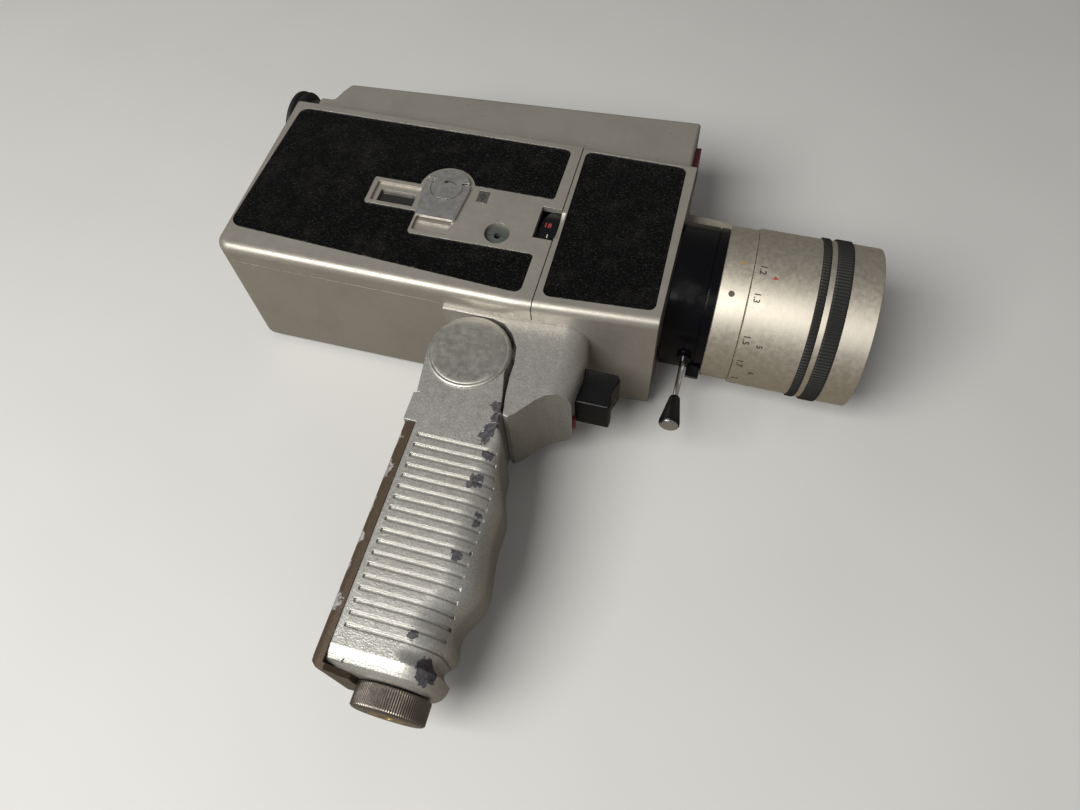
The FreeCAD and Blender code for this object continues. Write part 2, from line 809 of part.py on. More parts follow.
@piece
def shutter(name):
    """Disc with one open sector, its spindle and its pulley."""
    body = new_body(name, z=shutter_z)
    add(body, "YZ", -17.6, -17.0, circles=[(0, 0, 18.6)])
    cut(body, "YZ", -18.0, -16.6, [
        (3.2, 3.2), (17.0, 3.2), (17.0, 12.0), (12.0, 17.0), (3.2, 17.0)])
    add(body, "YZ", -20.6, -8.0, circles=[(0, 0, shutter_pin_r)])
    add(body, "YZ", -12.0, -9.0, circles=[(0, 0, shutter_pulley_r)])
    return body


motor_shaft_r = 1.0


@piece
def drive_motor(name):
    body = turned(name, "X", [
        (-4.0, 0), (-4.0, 3.0), (-2.6, 3.0), (-2.6, 9.0), (-1.6, motor_r), (32.0, motor_r),
        (32.6, motor_r - 0.6), (32.6, 0)], y=motor_y, z=motor_z)
    cut(body, "YZ", -5.0, 12.0, circles=[(0, 0, run_gap + motor_shaft_r)])
    return body


@piece
def motor_pulley(name):
    """Pulley in one piece with the motor's shaft."""
    return turned(name, "X", [
        (-12.0, 0), (11.0, 0), (11.0, motor_shaft_r), (-9.0, motor_shaft_r), (-9.0, pulley_r),
        (-12.0, pulley_r)], y=motor_y, z=motor_z)


def belt_wire(thickness):
    """Loop round both pulleys: two outside tangents and two wraps."""
    clearance = 0.05
    small_r = pulley_r.value + clearance + thickness
    large_r = shutter_pulley_r.value + clearance + thickness
    small_at = Vector(-11.3, motor_y.value, motor_z.value)
    large_at = Vector(-11.3, 0, shutter_z.value)
    along = large_at - small_at
    sine = (small_r - large_r) / along.Length
    cosine = math.sqrt(1 - sine * sine)
    along.normalize()
    across = Vector(0, -along.z, along.y)
    tangents = []
    for side in (1, -1):
        normal = along * sine + across * (cosine * side)
        tangents.append((small_at + normal * small_r, large_at + normal * large_r))
    (small_a, large_a), (small_b, large_b) = tangents
    return Part.Wire([
        Part.LineSegment(small_a, large_a).toShape(),
        Part.Arc(large_a, large_at + along * large_r, large_b).toShape(),
        Part.LineSegment(large_b, small_b).toShape(),
        Part.Arc(small_b, small_at - along * small_r, small_a).toShape()])


@piece
def drive_belt(name):
    belt = doc.addObject("Part::Feature", name)
    face = Part.Face(belt_wire(1.2)).cut(Part.Face(belt_wire(0.0)))
    belt.Shape = face.extrude(Vector(1.6, 0, 0))
    return belt


@piece
def speed_dial(name):
    bore = dial_pin_r + run_gap
    return turned(name, "Y", [
        (bore, -27.2), (dial_r - 0.3, -27.2), (dial_r, -26.9), (dial_r, -25.9),
        (dial_r - 0.3, -25.6), (3.5, -25.6), (3.5, -22.0), (bore, -22.0)], x=dial_x, z=dial_z)


@piece
def dial_spindle(name):
    return turned(name, "Y", [
        (0, -26.4), (dial_pin_r, -26.4), (dial_pin_r, -21.8), (4.0, -21.8), (4.0, -20.8),
        (0, -20.8)], x=dial_x, z=dial_z)


# ----------------------------------------------------------------- film door
def door_rim(edge):
    """Low and rear lower edges of the door's outer face."""
    if not on_face(edge, door_y):
        return False
    x_low, x_high = reach(edge, "x")
    at_rear = x_high < rear_x.value + 6.5 and x_low < rear_x.value + 5
    return runs_low(edge) or (at_rear and reach(edge, "z")[1] < 190.0)


@piece
def film_door(name):
    body = new_body(name)
    door_in = seam_y - shut_gap
    outer = door_y - 1.0
    front = split_x - shut_gap * 0.5
    add(body, "XZ", door_y, door_in, [
        (rear_x, bottom_z, 6.0), (taper_x, bottom_z), (front, bottom_at(split_x)),
        (front, top_z), (rear_x, top_z)])
    round_edges(body, 3.6, door_rim)
    cut(body, "XZ", door_y + 2.6, door_in,
        rect(rear_x + 4.2, bottom_z + 4.2, split_x - 2.3, top_z - 2.2, 2.0))
    cut(body, "XZ", outer, door_y + leather, door_recess)
    add(body, "XZ", door_y, door_y + 1.5, circles=[(latch_x, latch_z, boss_r)])
    # window over the cartridge
    cut(body, "XZ", outer, door_y + 1.2, rect(-68.8, 182.3, -49.8, 192.7, 0.5))
    cut(body, "XZ", outer, door_y + 4.0, rect(-66.6, 183.0, -51.2, 189.6, 0.5))
    # latch spindle hole, finger dip below the key
    cut(body, "XZ", outer, door_y + 4.0, circles=[(latch_x, latch_z, latch_pin_r + run_gap)])
    cut(body, "XZ", outer, door_y + 1.3, rect(-47.2, 171.4, -32.4, 180.0, 0.8))
    # remote socket, film-plane mark
    cut(body, "XZ", outer, door_y + 4.0, circles=[(socket_x, socket_z, 5.1)])
    cut(body, "XZ", outer, door_y + 0.3, rect(-26.3, 190.4, -21.7, 196.6, 0.3))
    # speed dial window and the room for the dial behind it
    cut(body, "XZ", outer, door_y + 4.0, rect(0.7, dial_z - 8.0, split_x + 1.0, dial_z + 8.0))
    cut(body, "XZ", door_y + 2.5, seam_y,
        rect(split_x - 3.0, dial_z - 14.0, split_x + 1.0, dial_z + 14.0))
    return body


@piece
def door_leatherette(name):
    body = new_body(name)
    add(body, "XZ", door_y + 0.1, door_y + leather, inset(door_recess, skin_gap))
    cut(body, "XZ", door_y - 1.0, door_y + 2.0, circles=[(latch_x, latch_z, boss_r + skin_gap)])
    return body


@piece
def door_window(name):
    body = new_body(name)
    add(body, "XZ", door_y + 2.6, door_y + 3.8, rect(-69.5, 180.6, -48.6, 192.0, 0.5))
    return body


@piece
def film_plane_plate(name):
    body = new_body(name)
    add(body, "XZ", door_y - 0.05, door_y + 0.3, rect(-26.25, 190.45, -21.75, 196.55, 0.25))
    return body


@piece
def remote_socket(name):
    body = turned(name, "Y", [
        (1.5, -28.4), (4.2, -28.2), (5.1, -28.2), (5.1, -27.4), (6.4, -27.4), (6.4, -25.6),
        (1.5, -25.6)], x=socket_x, z=socket_z)
    cut(body, "XZ", -28.6, -27.6, rect(-4.6, -0.35, 4.6, 0.35))
    return body


@piece
def latch_hub(name):
    """Hub, the segment above it and the spindle through the door."""
    body = new_body(name, x=latch_x, z=latch_z)
    add(body, "XZ", -31.3, -30.05, circles=[(0, 0, hub_r)])
    add(body, "XZ", -31.3, -30.05, [
        (-8.6, 3.55), (8.6, 3.55), (8.4, 4.6), (6.9, 6.65), (4.6, 8.4), (1.7, 9.45),
        (-1.7, 9.45), (-4.6, 8.4), (-6.9, 6.65), (-8.4, 4.6)])
    add(body, "XZ", -30.2, -24.6, circles=[(0, 0, latch_pin_r)])
    return body


@piece
def latch_key(name):
    body = new_body(name, x=latch_x, z=latch_z)
    add(body, "XZ", -31.3, -30.1, [
        (-9.3, 2.1), (-9.5, 0.0), (-8.2, -16.2, 1.2), (8.2, -16.2, 1.2), (9.5, 0.0), (9.3, 2.1)])
    # rounded upper edge
    add(body, "YZ", -9.2, 9.2, circles=[(-30.7, 2.1, 0.6)])
    cut(body, "XZ", -31.5, -29.5, circles=[(0, 0, hub_r + 0.25)])
    return body


@piece
def latch_cam(name):
    body = new_body(name, x=latch_x, z=latch_z)
    add(body, "XZ", -26.6, -25.2, rect(-8.7, -4.4, 8.7, 4.4, 3.0))
    cut(body, "XZ", -27.0, -25.0, circles=[(0, 0, latch_pin_r)])
    return body


# -------------------------------------------------------- bracket and trigger
@piece
def trigger_housing(name):
    body = new_body(name)
    add(body, "XZ", -grip_y, grip_y, [
        (-26.4, bottom_z), (taper_x, bottom_z), (31.0, bottom_at(31.0)), (32.4, 133.0),
        (31.4, 118.7), (26.3, 118.5), (22.5, 116.8), (19.2, 113.9), (16.1, 109.9),
        (13.9, 107.2), (11.4, 104.8), (9.6, 105.2), (8.2, 114.0), (7.6, 121.0), (7.6, 127.7),
        (6.4, 134.2), (3.0, 139.8), (-1.2, 143.2), (-6.0, 144.3), (-26.4, 144.3)])
    # upright front corners
    round_edges(body, 9.0, lambda edge: (
        on_face(edge, grip_y, -grip_y) and reach(edge, "x")[0] > 30.0 and span(edge, "z") > 10.0))
    # tongue between the grip's cheeks
    add(body, "XZ", -8.0, 8.0, [
        (fold_x - 11.0, 144.4), (fold_x - 11.0, fold_z), (fold_x - 8.0, fold_z - 8.0),
        (fold_x, fold_z - 11.0), (fold_x + 8.0, fold_z - 8.0), (9.0, fold_z - 6.0),
        (9.0, 134.0), (0.0, 144.4)])
    cut(body, "XZ", -9.0, 9.0, circles=[(fold_x, fold_z, fold_pin_r)])
    # trigger way, open at the front, and the slot of the trigger lock below it
    cut(body, "XZ", -8.3, 8.3, rect(12.0, 122.4, 36.0, 138.9))
    cut(body, "XZ", -3.3, 7.3, rect(28.9, 119.3, 36.0, 121.9))
    cut(body, "XY", 138.0, 150.0,
        circles=[(x, y, bracket_hole_r) for x, y in bracket_screw_at])
    return body


@piece
def bracket_screws(name):
    """Slotted screws with their heads inside the body."""
    screws = []
    head_z = bottom_z + 2.6
    for i, (x, y) in enumerate(bracket_screw_at):
        screw = turned("bracket_screw%d" % i, "Z", [
            (0, 144.4), (1.5, 144.4), (1.5, head_z), (2.7, head_z), (2.7, head_z + 1.2),
            (2.2, head_z + 1.8), (0, head_z + 1.8)], x, y)
        cut(screw, "XY", head_z + 1.1, head_z + 2.4, rect(-3.0, -0.35, 3.0, 0.35))
        screws.append(screw)
    return group(name, screws)


spring_z = 130.7


@piece
def trigger(name):
    body = new_body(name)
    add(body, "XZ", -8.0, 8.0, [
        (26.0, 123.1), (44.8, 123.1, 0.9), (45.0, 126.0, 1.0), (44.0, 130.2, 6.0),
        (46.2, 136.4, 1.0), (44.6, 138.4, 0.8), (26.0, 138.4)])
    # spring seat
    cut(body, "YZ", 24.0, 29.5, circles=[(0, spring_z, 3.2)])
    round_edges(body, 0.9, lambda edge: on_face(edge, 8.0, -8.0) and reach(edge, "x")[0] > 40.0)
    return body


@piece
def trigger_spring(name):
    pitch, length, coil_r, wire_r = 1.9, 9.3, 2.4, 0.3
    helix = Part.makeHelix(pitch, length, coil_r)
    section = Part.Circle(Vector(coil_r, 0, 0), Vector(0, 1, 0), wire_r).toShape()
    spring = doc.addObject("Part::Feature", name)
    spring.Shape = Part.Wire(helix.Edges).makePipeShell([Part.Wire([section])], True, True)
    along_x = FreeCAD.Rotation(Vector(0, 1, 0), 90)
    spring.Placement = FreeCAD.Placement(Vector(19.3, 0, spring_z), along_x)
    return spring


@piece
def run_switch(name):
    body = new_body(name)
    add(body, "XZ", -5.0, 5.0, rect(12.1, 124.6, 18.4, 136.6))
    return body


@piece
def trigger_lock(name):
    body = new_body(name)
    add(body, "XZ", 1.0, 7.0, rect(29.4, 119.6, 32.4, 121.6, 0.5))
    return body


# ---------------------------------------------------------------------- grip
# (height, front face x, front corner radius)
grip_stations = [
    (15.0, 15.3, 12.0), (22.0, 15.0, 12.5), (29.0, 14.9, 13.0), (34.0, 15.6, 13.0),
    (39.0, 18.4, 13.0), (44.0, 20.2, 13.0), (52.0, 19.6, 13.0), (60.0, 18.3, 13.0),
    (67.0, 18.0, 13.0), (74.0, 17.9, 12.0), (82.0, 15.2, 9.0), (90.0, 12.6, 5.0),
    (98.0, 11.0, 2.0), (106.0, 9.2, 1.0)]
# (height, inset) of the rounded foot, up to the first station
foot_steps = [(9.0, 4.6), (9.6, 3.0), (10.8, 1.5), (12.6, 0.5), (15.0, 0.0)]
groove_count = 18


def grip_section(body, z, back, front, front_r, margin):
    """Level section, drawn in by margin at the sides and the front."""
    half = grip_y - margin
    sketch = new_sketch(body, "XY", z)
    draw_outline(sketch, [
        (back, -half, 0.6), (front - margin, -half, front_r - margin),
        (front - margin, half, front_r - margin), (back, half, 0.6)])
    return sketch


def loft(body, sections, ruled):
    feature = body.newObject("PartDesign::AdditiveLoft", "loft")
    feature.Profile = sections[0]
    feature.Sections = sections[1:]
    feature.Ruled = ruled
    doc.recompute()


def grip_handle():
    body = new_body("handle")
    loft(body, [grip_section(body, *station[:1], -20.0, *station[1:], 0.0)
                for station in grip_stations], False)
    front, front_r = grip_stations[0][1:]
    loft(body, [grip_section(body, z, -20.0, front, front_r, margin)
                for z, margin in foot_steps], True)
    return body


def groove_comb():
    """Stack of thin rings, 0.7 deep into the handle, to cut the grooves."""
    core = new_body("groove_core")
    loft(core, [grip_section(core, *station[:1], -22.0, *station[1:], 0.7)
                for station in grip_stations], False)
    fins = new_body("groove_fins")
    half = groove_wide * 0.5
    fin = add(fins, "XY", groove_low - half, groove_low + half,
              rect(-17.6, -24.0, 15.0, 24.0, 1.5))
    length = groove_pitch * (groove_count - 1)
    pattern = fins.newObject("PartDesign::LinearPattern", "pattern")
    pattern.Originals = [fin]
    pattern.Direction = (fins.Group[0], ["N_Axis"])
    pattern.Length = length.value
    pattern.setExpression("Length", length.text)
    pattern.Occurrences = groove_count
    fins.Tip = pattern
    doc.recompute()
    # the grooves stop where the smooth finger side begins
    guard = new_body("groove_guard")
    add(guard, "XZ", -30.0, 30.0, [
        (14.0, 10.0), (40.0, 10.0), (40.0, 104.0), (11.4, 104.0), (11.6, 89.0), (13.1, 84.0),
        (14.0, 78.0)])
    return minus("groove_comb", minus("groove_blank", fins, core), guard)


def grip_neck():
    body = new_body("neck")
    add(body, "XZ", -grip_y, grip_y, [
        (-24.6, 95.2), (9.0, 95.2), (8.6, 105.6), (7.0, 114.0), (5.2, 122.0), (5.0, 128.0),
        (fold_x + head_r * 0.94, fold_z + head_r * 0.342), (-20.0, 107.0), (-24.6, 106.4)])
    # round head about the fold axis, blended into the back
    add(body, "XZ", -grip_y, grip_y, circles=[(fold_x, fold_z, head_r)])
    add(body, "XZ", -grip_y, grip_y, [
        (fold_x - head_r * 0.996, fold_z - 1.4), (fold_x, fold_z - 1.4), (fold_x, 104.0),
        (-23.6, 107.0)])
    # slot between the cheeks for the housing's tongue
    cut(body, "XZ", -8.3, 8.3, rect(-40.0, 112.6, 20.0, 150.0))
    cut(body, "XZ", -22.0, 22.0, circles=[(fold_x, fold_z, fold_pin_r + run_gap)])
    return body


@piece
def grip_body(name):
    ribbed = minus("ribbed", grip_handle(), groove_comb())
    whole = fuse("grip_whole", [ribbed, grip_neck()])
    # hollow for the cells, open at the back; seat of the tripod bush; land of the cover
    bay = box("cell_bay", (-25.0, -15.4, 13.0), (9.6, 15.4, 92.0))
    seat = rod("bush_seat", (0.0, 0.0, 8.0), (0, 0, 1), bush_r, 6.0)
    land = box("cover_land", (-30.0, -25.0, 5.0), (-20.0, 25.0, 95.2))
    return minus(name, whole, fuse("grip_tools", [bay, seat, land]))


@piece
def battery_cover(name):
    body = new_body(name)
    add(body, "XZ", -20.0, 20.0, [
        (-20.1, 94.9), (-20.1, 8.9), (-13.0, 8.9), (-13.0, 6.9), (-21.6, 6.9), (-23.8, 8.6),
        (-24.6, 11.6), (-24.6, 94.9)])
    round_edges(body, 3.4, lambda edge: (
        on_face(edge, 20.0, -20.0) and reach(edge, "x")[1] < -24.5))
    # bevelled corners of the toe under the grip
    for side in (-1, 1):
        cut(body, "XY", 6.0, 9.4, [
            (-19.6, 20.6 * side), (-12.0, 20.6 * side), (-12.0, 9.0 * side)])
    return body


@piece
def battery_holder(name):
    body = new_body(name)
    add(body, "XY", 16.0, 17.6, rect(-19.6, -15.2, 9.4, 15.2, 1.0))
    add(body, "XY", 69.6, 71.2, rect(-19.6, -15.2, 9.4, 15.2, 1.0))
    add(body, "XY", 17.6, 69.6, rect(8.0, -15.2, 9.4, 15.2))
    return body


@piece
def battery_cells(name):
    cells = []
    shoulder = cell_tall - 0.4
    for i, (x, y) in enumerate((x, y) for x in (-12.3, 0.0) for y in (-7.5, 7.5)):
        cells.append(turned("cell%d" % i, "Z", [
            (0, 0.0), (cell_r - 1.0, 0.0), (cell_r, 0.8), (cell_r, shoulder - 0.8),
            (cell_r - 1.0, shoulder), (2.7, shoulder), (2.7, shoulder + 1.3),
            (0, shoulder + 1.3)], x, y, 18.1))
    return group(name, cells)


@piece
def fold_axle(name):
    half = grip_y - 0.4
    return rod(name, (fold_x, -half, fold_z), (0, 1, 0), fold_pin_r, half * 2)


@piece
def pivot_caps(name):
    """Discs over the fold axis, one on each side of the grip."""
    caps = []
    for side in (-1, 1):
        face = grip_y * side
        dip = face + 0.35 * side
        rim = face + 0.95 * side
        caps.append(turned("pivot_cap%d" % (side + 1), "Y", [
            (0, dip), (0, face + 0.75 * side), (disc_r - 1.2, rim), (disc_r - 0.4, rim),
            (disc_r, face + 0.6 * side), (disc_r, face), (4.6, face), (4.6, dip)],
            x=fold_x, z=fold_z))
    return group(name, caps)


@piece
def tripod_bush(name):
    return turned(name, "Z", [
        (thread_r, 0.0), (6.6, 0.0), (7.0, 0.4), (7.0, 1.2), (bush_r, 1.2), (bush_r, 12.9),
        (0, 12.9), (0, thread_deep), (thread_r, thread_deep)])


@piece
def foot_knob(name):
    bore = bush_r + run_gap
    return turned(name, "Z", [
        (bore, 1.25), (7.1, 1.25), (7.1, 0.0), (knob_r - 1.0, 0.0), (knob_r, 0.8),
        (knob_r, knob_tall - 0.8), (knob_r - 0.8, knob_tall), (bore, knob_tall)])


# ---------------------------------------------------- build, check and export
pieces = []
for build in BUILDERS:
    obj = build(build.__name__)
    obj.Label = build.__name__
    pieces.append(obj)
doc.recompute()

faults = []
for obj in doc.Objects:
    if any(state in ("Invalid", "Error") for state in obj.State):
        faults.append("%s %s" % (obj.Name, obj.State))
for obj in pieces:
    shape = obj.Shape
    if shape.isNull() or not shape.isValid() or not shape.Solids or shape.Volume <= 0:
        faults.append("%s has no valid solid" % obj.Label)
if len({obj.Label for obj in pieces}) < len(pieces):
    faults.append("a label is used twice")
if faults:
    raise RuntimeError("; ".join(faults))

os.makedirs("parts", exist_ok=True)
for obj in pieces:
    obj.Shape.exportStep("parts/%s.step" % obj.Label)
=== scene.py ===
"""Looks of a cine camera with a pistol grip.

The lens points along +X, +Z is up and the camera's right side faces -Y.
It lies on its left side on a pale floor, which is a plane at +Y.
Sizes are in millimetres unless a comment says metres; MM turns them into metres.
"""
import json
import math
from functools import cached_property

import bpy
import numpy as np
from mathutils import Matrix, Vector, noise as field


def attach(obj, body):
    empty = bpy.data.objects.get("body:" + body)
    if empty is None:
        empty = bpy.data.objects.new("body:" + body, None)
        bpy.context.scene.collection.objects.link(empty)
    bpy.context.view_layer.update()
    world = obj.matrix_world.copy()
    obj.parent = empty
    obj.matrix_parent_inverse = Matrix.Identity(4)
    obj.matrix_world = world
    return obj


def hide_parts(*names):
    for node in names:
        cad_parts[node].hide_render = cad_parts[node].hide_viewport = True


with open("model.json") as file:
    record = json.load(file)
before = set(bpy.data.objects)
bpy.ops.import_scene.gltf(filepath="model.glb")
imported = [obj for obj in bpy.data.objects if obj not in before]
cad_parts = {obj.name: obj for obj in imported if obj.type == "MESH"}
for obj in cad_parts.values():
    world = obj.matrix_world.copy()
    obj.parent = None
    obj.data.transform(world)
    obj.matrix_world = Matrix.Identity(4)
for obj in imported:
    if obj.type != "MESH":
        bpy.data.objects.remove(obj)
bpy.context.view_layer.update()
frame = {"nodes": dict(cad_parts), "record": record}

MM = 0.001
LENS_Z = 187.1  # height of the lens axis


# ------------------------------------------------------------------ materials
MATERIALS = {}


def tinted(color, factor, lift=0.0):
    """Colour times one factor, or one factor per channel, capped at 1."""
    factors = factor if isinstance(factor, tuple) else (factor,) * 3
    return tuple(min(1.0, c * f + lift) for c, f in zip(color, factors))


class Material:
    """Principled material with textures measured in millimetres."""

    INPUTS = {"color": "Base Color", "metal": "Metallic", "rough": "Roughness",
              "normal": "Normal", "ior": "IOR", "trans": "Transmission Weight",
              "coat": "Coat Weight", "coat_rough": "Coat Roughness",
              "spec": "Specular IOR Level"}

    def __init__(self, name):
        material = bpy.data.materials.new(name)
        material.use_nodes = True
        self.tree = material.node_tree
        self.tree.nodes.clear()
        self.output = self.node("OutputMaterial")
        self.shader = self.node("BsdfPrincipled")
        self.put(self.output.inputs[0], self.shader.outputs[0])
        self.place = self.scaled((1000, 1000, 1000), self.node("TexCoord").outputs["Object"])
        MATERIALS[name] = material

    @cached_property
    def geometry(self):
        return self.node("NewGeometry").outputs

    def put(self, socket, value):
        """Links a socket, or sets a plain value."""
        if isinstance(value, bpy.types.NodeSocket):
            self.tree.links.new(value, socket)
            return
        if socket.type == "RGBA" and len(value) == 3:
            value = tuple(value) + (1.0,)
        socket.default_value = value

    def node(self, kind, inputs=None, **settings):
        made = self.tree.nodes.new("ShaderNode" + kind)
        for key, value in settings.items():
            setattr(made, key, value)
        for key, value in (inputs or {}).items():
            self.put(made.inputs[key], value)
        return made

    def set(self, **values):
        for key, value in values.items():
            self.put(self.shader.inputs[self.INPUTS[key]], value)

    def scaled(self, scale, place=None):
        return self.node("Mapping", {"Vector": place or self.place, "Scale": scale}).outputs[0]

    def noise_node(self, scale, detail=3.0, rough=0.5, place=None):
        return self.node("TexNoise", {"Vector": place or self.place, "Scale": scale,
                                      "Detail": detail, "Roughness": rough})

    def noise(self, scale, **options):
        return self.noise_node(scale, **options).outputs[0]

    def cells(self, scale, place=None):
        """Distance to the nearest cell centre."""
        return self.node("TexVoronoi", {"Vector": place or self.place, "Scale": scale}).outputs[0]

    def math(self, operation, a, b=0.0, clamp=False):
        return self.node("Math", {0: a, 1: b}, operation=operation, use_clamp=clamp).outputs[0]

    def times(self, a, b, clamp=False):
        return self.math("MULTIPLY", a, b, clamp)

    def plus(self, a, b):
        return self.math("ADD", a, b)

    def vector_math(self, operation, *values):
        return self.node("VectorMath", dict(enumerate(values)), operation=operation).outputs

    def ramp(self, value, start, end, low=0.0, high=1.0):
        """Maps start..end linearly onto low..high."""
        values = (value, start, end, low, high)
        return self.node("MapRange", dict(enumerate(values))).outputs[0]

    def mix(self, factor, a, b):
        """Colour a where the factor is 0, b where it is 1."""
        return self.node("Mix", {0: factor, 6: a, 7: b}, data_type="RGBA").outputs[2]

    def bump(self, height, depth=1.0, normal=None):
        inputs = {"Distance": depth * MM, "Height": height}
        if normal is not None:
            inputs["Normal"] = normal
        return self.node("Bump", inputs).outputs[0]

    def soft(self, radius):
        """Normal with corners rounded to the radius."""
        return self.node("Bevel", {"Radius": radius * MM}, samples=4).outputs[0]

    def edges(self, radius, start=0.02, end=0.16):
        """1 on sharp corners, 0 on faces."""
        dot = self.vector_math("DOT_PRODUCT", self.soft(radius), self.geometry["Normal"])
        return self.ramp(self.math("SUBTRACT", 1.0, dot["Value"]), start, end)

    def axis(self, index):
        return self.node("SeparateXYZ", {0: self.place}).outputs[index]

    def patches(self, spots):
        """1 inside ragged patches given as (x, y, z, radius)."""
        jitter = 2.6  # how far the outlines wander
        wander = self.noise_node(scale=0.45, detail=4.0).outputs["Color"]
        centred = self.vector_math("SUBTRACT", self.place, (jitter,) * 3)[0]
        place = self.vector_math("MULTIPLY_ADD", wander, (jitter * 2,) * 3, centred)[0]
        total = None
        for x, y, z, radius in spots:
            away = self.vector_math("DISTANCE", place, (x, y, z))["Value"]
            patch = self.ramp(away, start=radius, end=radius - 0.25)
            total = patch if total is None else self.math("MAXIMUM", total, patch)
        return total


def painted_seam_shade(mat, seam_x):
    """Thin line at one x, on the right side below the top: painted shade of the gap, with some
    grime.
    """
    away = mat.math("ABSOLUTE", mat.math("SUBTRACT", mat.axis(0), seam_x))
    on_side = mat.ramp(mat.axis(1), start=-21.2, end=-21.7)
    below_top = mat.ramp(mat.axis(2), start=228.9, end=228.5)
    return mat.times(mat.ramp(away, start=0.30, end=0.10), mat.times(on_side, below_top))


def painted(name, base, chip, bare, grain, grain_height, wear, metal, rough,
            dots=0.0, lost_spots=(), edge_round=0.25, seam_x=None):
    """Metallic paint with a fine speckle, chips on the corners and dull patches."""
    mat = Material(name)
    speck = mat.noise(scale=grain, detail=2.0, rough=0.6)
    broad = mat.noise(scale=0.045, rough=0.6)
    patch = mat.noise(scale=0.35, detail=4.0, rough=0.65)
    color = mat.mix(mat.ramp(speck, start=0.32, end=0.68),
                    tinted(base, 0.80), tinted(base, 1.13))
    grime = mat.times(mat.ramp(broad, start=0.45, end=0.75), 0.22)
    color = mat.mix(grime, color, tinted(base, (0.62, 0.56, 0.48)))

    # corners: chips down to the undercoat, then bright bare metal
    flakes = mat.noise(scale=0.9, detail=5.0, rough=0.7)
    flaked = mat.ramp(flakes, start=0.62 - wear * 0.22, end=0.70 - wear * 0.22)
    worn = mat.times(mat.edges(0.55), flaked, clamp=True)
    rubbed = mat.ramp(patch, start=0.5, end=0.62)
    bright = mat.times(mat.edges(0.22, start=0.03, end=0.2), rubbed, clamp=True)
    color = mat.mix(worn, color, chip)
    color = mat.mix(mat.times(bright, 0.75), color, bare)

    # small round pits in clusters
    clusters = mat.ramp(mat.noise(scale=0.2, detail=2.0),
                        start=0.55 - dots * 0.2, end=0.62 - dots * 0.2)
    pits = mat.times(mat.ramp(mat.cells(0.55), start=0.13, end=0.07), clusters, clamp=True)
    color = mat.mix(mat.times(pits, 0.85), color, chip)

    if lost_spots:
        lost = mat.patches(lost_spots)
        mottle = mat.ramp(mat.noise(scale=0.8, detail=4.0, rough=0.7), start=0.4, end=0.6)
        color = mat.mix(lost, color, mat.mix(mottle, chip, tinted(chip, 2.6)))
        worn = mat.math("MAXIMUM", worn, lost)
    if seam_x is not None:
        # dark seam line: painted shade of the door gap, with some grime
        color = mat.mix(painted_seam_shade(mat, seam_x), color, (0.02, 0.016, 0.012))

    dull = mat.ramp(patch, start=0.3, end=0.75, low=rough - 0.06, high=rough + 0.12)
    height = mat.plus(mat.times(speck, grain_height), mat.times(mat.plus(worn, pits), -0.05))
    mat.set(color=color,
            metal=mat.math("SUBTRACT", metal, mat.times(worn, metal * 0.8)),
            rough=mat.plus(dull, mat.times(worn, 0.25)),
            normal=mat.bump(height, normal=mat.soft(edge_round)))


def leather(name):
    """Black pebbled leatherette with worn and dusty areas, and painted shade in the pebble
    valleys.
    """
    mat = Material(name)
    pebble = mat.cells(1.25, mat.scaled((0.55, 1.0, 1.5)))
    fine = mat.noise(scale=5.0, detail=4.0, rough=0.6)
    wear = mat.noise(scale=0.12, rough=0.6)
    shaded_valley, top, worn, dusty = ((0.0012, 0.0012, 0.0012), (0.008, 0.0077, 0.0074),
                                (0.034, 0.031, 0.028), (0.30, 0.27, 0.22))
    # pebble valleys darker than the tops: painted shade in the crevices
    color = mat.mix(mat.ramp(pebble, start=0.28, end=0.05), shaded_valley, top)
    color = mat.mix(mat.times(mat.ramp(wear, start=0.5, end=0.8), 0.3), color, worn)
    dust = mat.times(mat.ramp(mat.cells(0.5), start=0.055, end=0.03),
                     mat.ramp(mat.noise(scale=0.3, detail=2.0), start=0.56, end=0.62))
    color = mat.mix(mat.times(dust, 0.8), color, dusty)
    domes = mat.ramp(pebble, start=0.0, end=0.6, low=1.0, high=0.0)
    height = mat.plus(mat.times(domes, 0.75), mat.times(fine, 0.03))
    mat.set(color=color, rough=mat.ramp(fine, start=0.3, end=0.7, low=0.22, high=0.38),
            spec=0.20, normal=mat.bump(height))


def turned(name, base, rough, streak=0.5, metal=1.0, axis="X", stain=0.15, scratch=0.25):
    """Turned metal: fine bands across the axis, stains and small dents."""
    mat = Material(name)
    stretch = tuple(9.0 if letter == axis else 0.25 for letter in "XYZ")
    lines = mat.noise(scale=1.0, detail=2.0, place=mat.scaled(stretch))
    broad = mat.noise(scale=0.06, rough=0.6)
    spots = mat.noise(scale=0.9, detail=5.0, rough=0.75)
    color = mat.mix(mat.ramp(lines, start=0.3, end=0.7), tinted(base, 0.93), tinted(base, 1.06))
    stained = mat.times(mat.ramp(broad, start=0.42, end=0.7), stain * 2.0)
    color = mat.mix(stained, color, tinted(base, (0.62, 0.55, 0.45)))
    marked = mat.times(mat.ramp(spots, start=0.66, end=0.74), scratch)
    color = mat.mix(marked, color, (0.12, 0.09, 0.06))
    polished = mat.times(mat.edges(0.35, start=0.03, end=0.2),
                         mat.ramp(spots, start=0.45, end=0.6))
    color = mat.mix(polished, color, tinted(base, 1.25))
    height = mat.plus(mat.times(lines, 0.004 * streak), mat.times(spots, 0.012))
    smear = mat.noise(scale=0.5, detail=4.0, rough=0.6)
    mat.set(color=color, metal=metal,
            rough=mat.ramp(smear, start=0.3, end=0.7, low=rough - 0.05, high=rough + 0.09),
            normal=mat.bump(height, normal=mat.soft(0.15)))


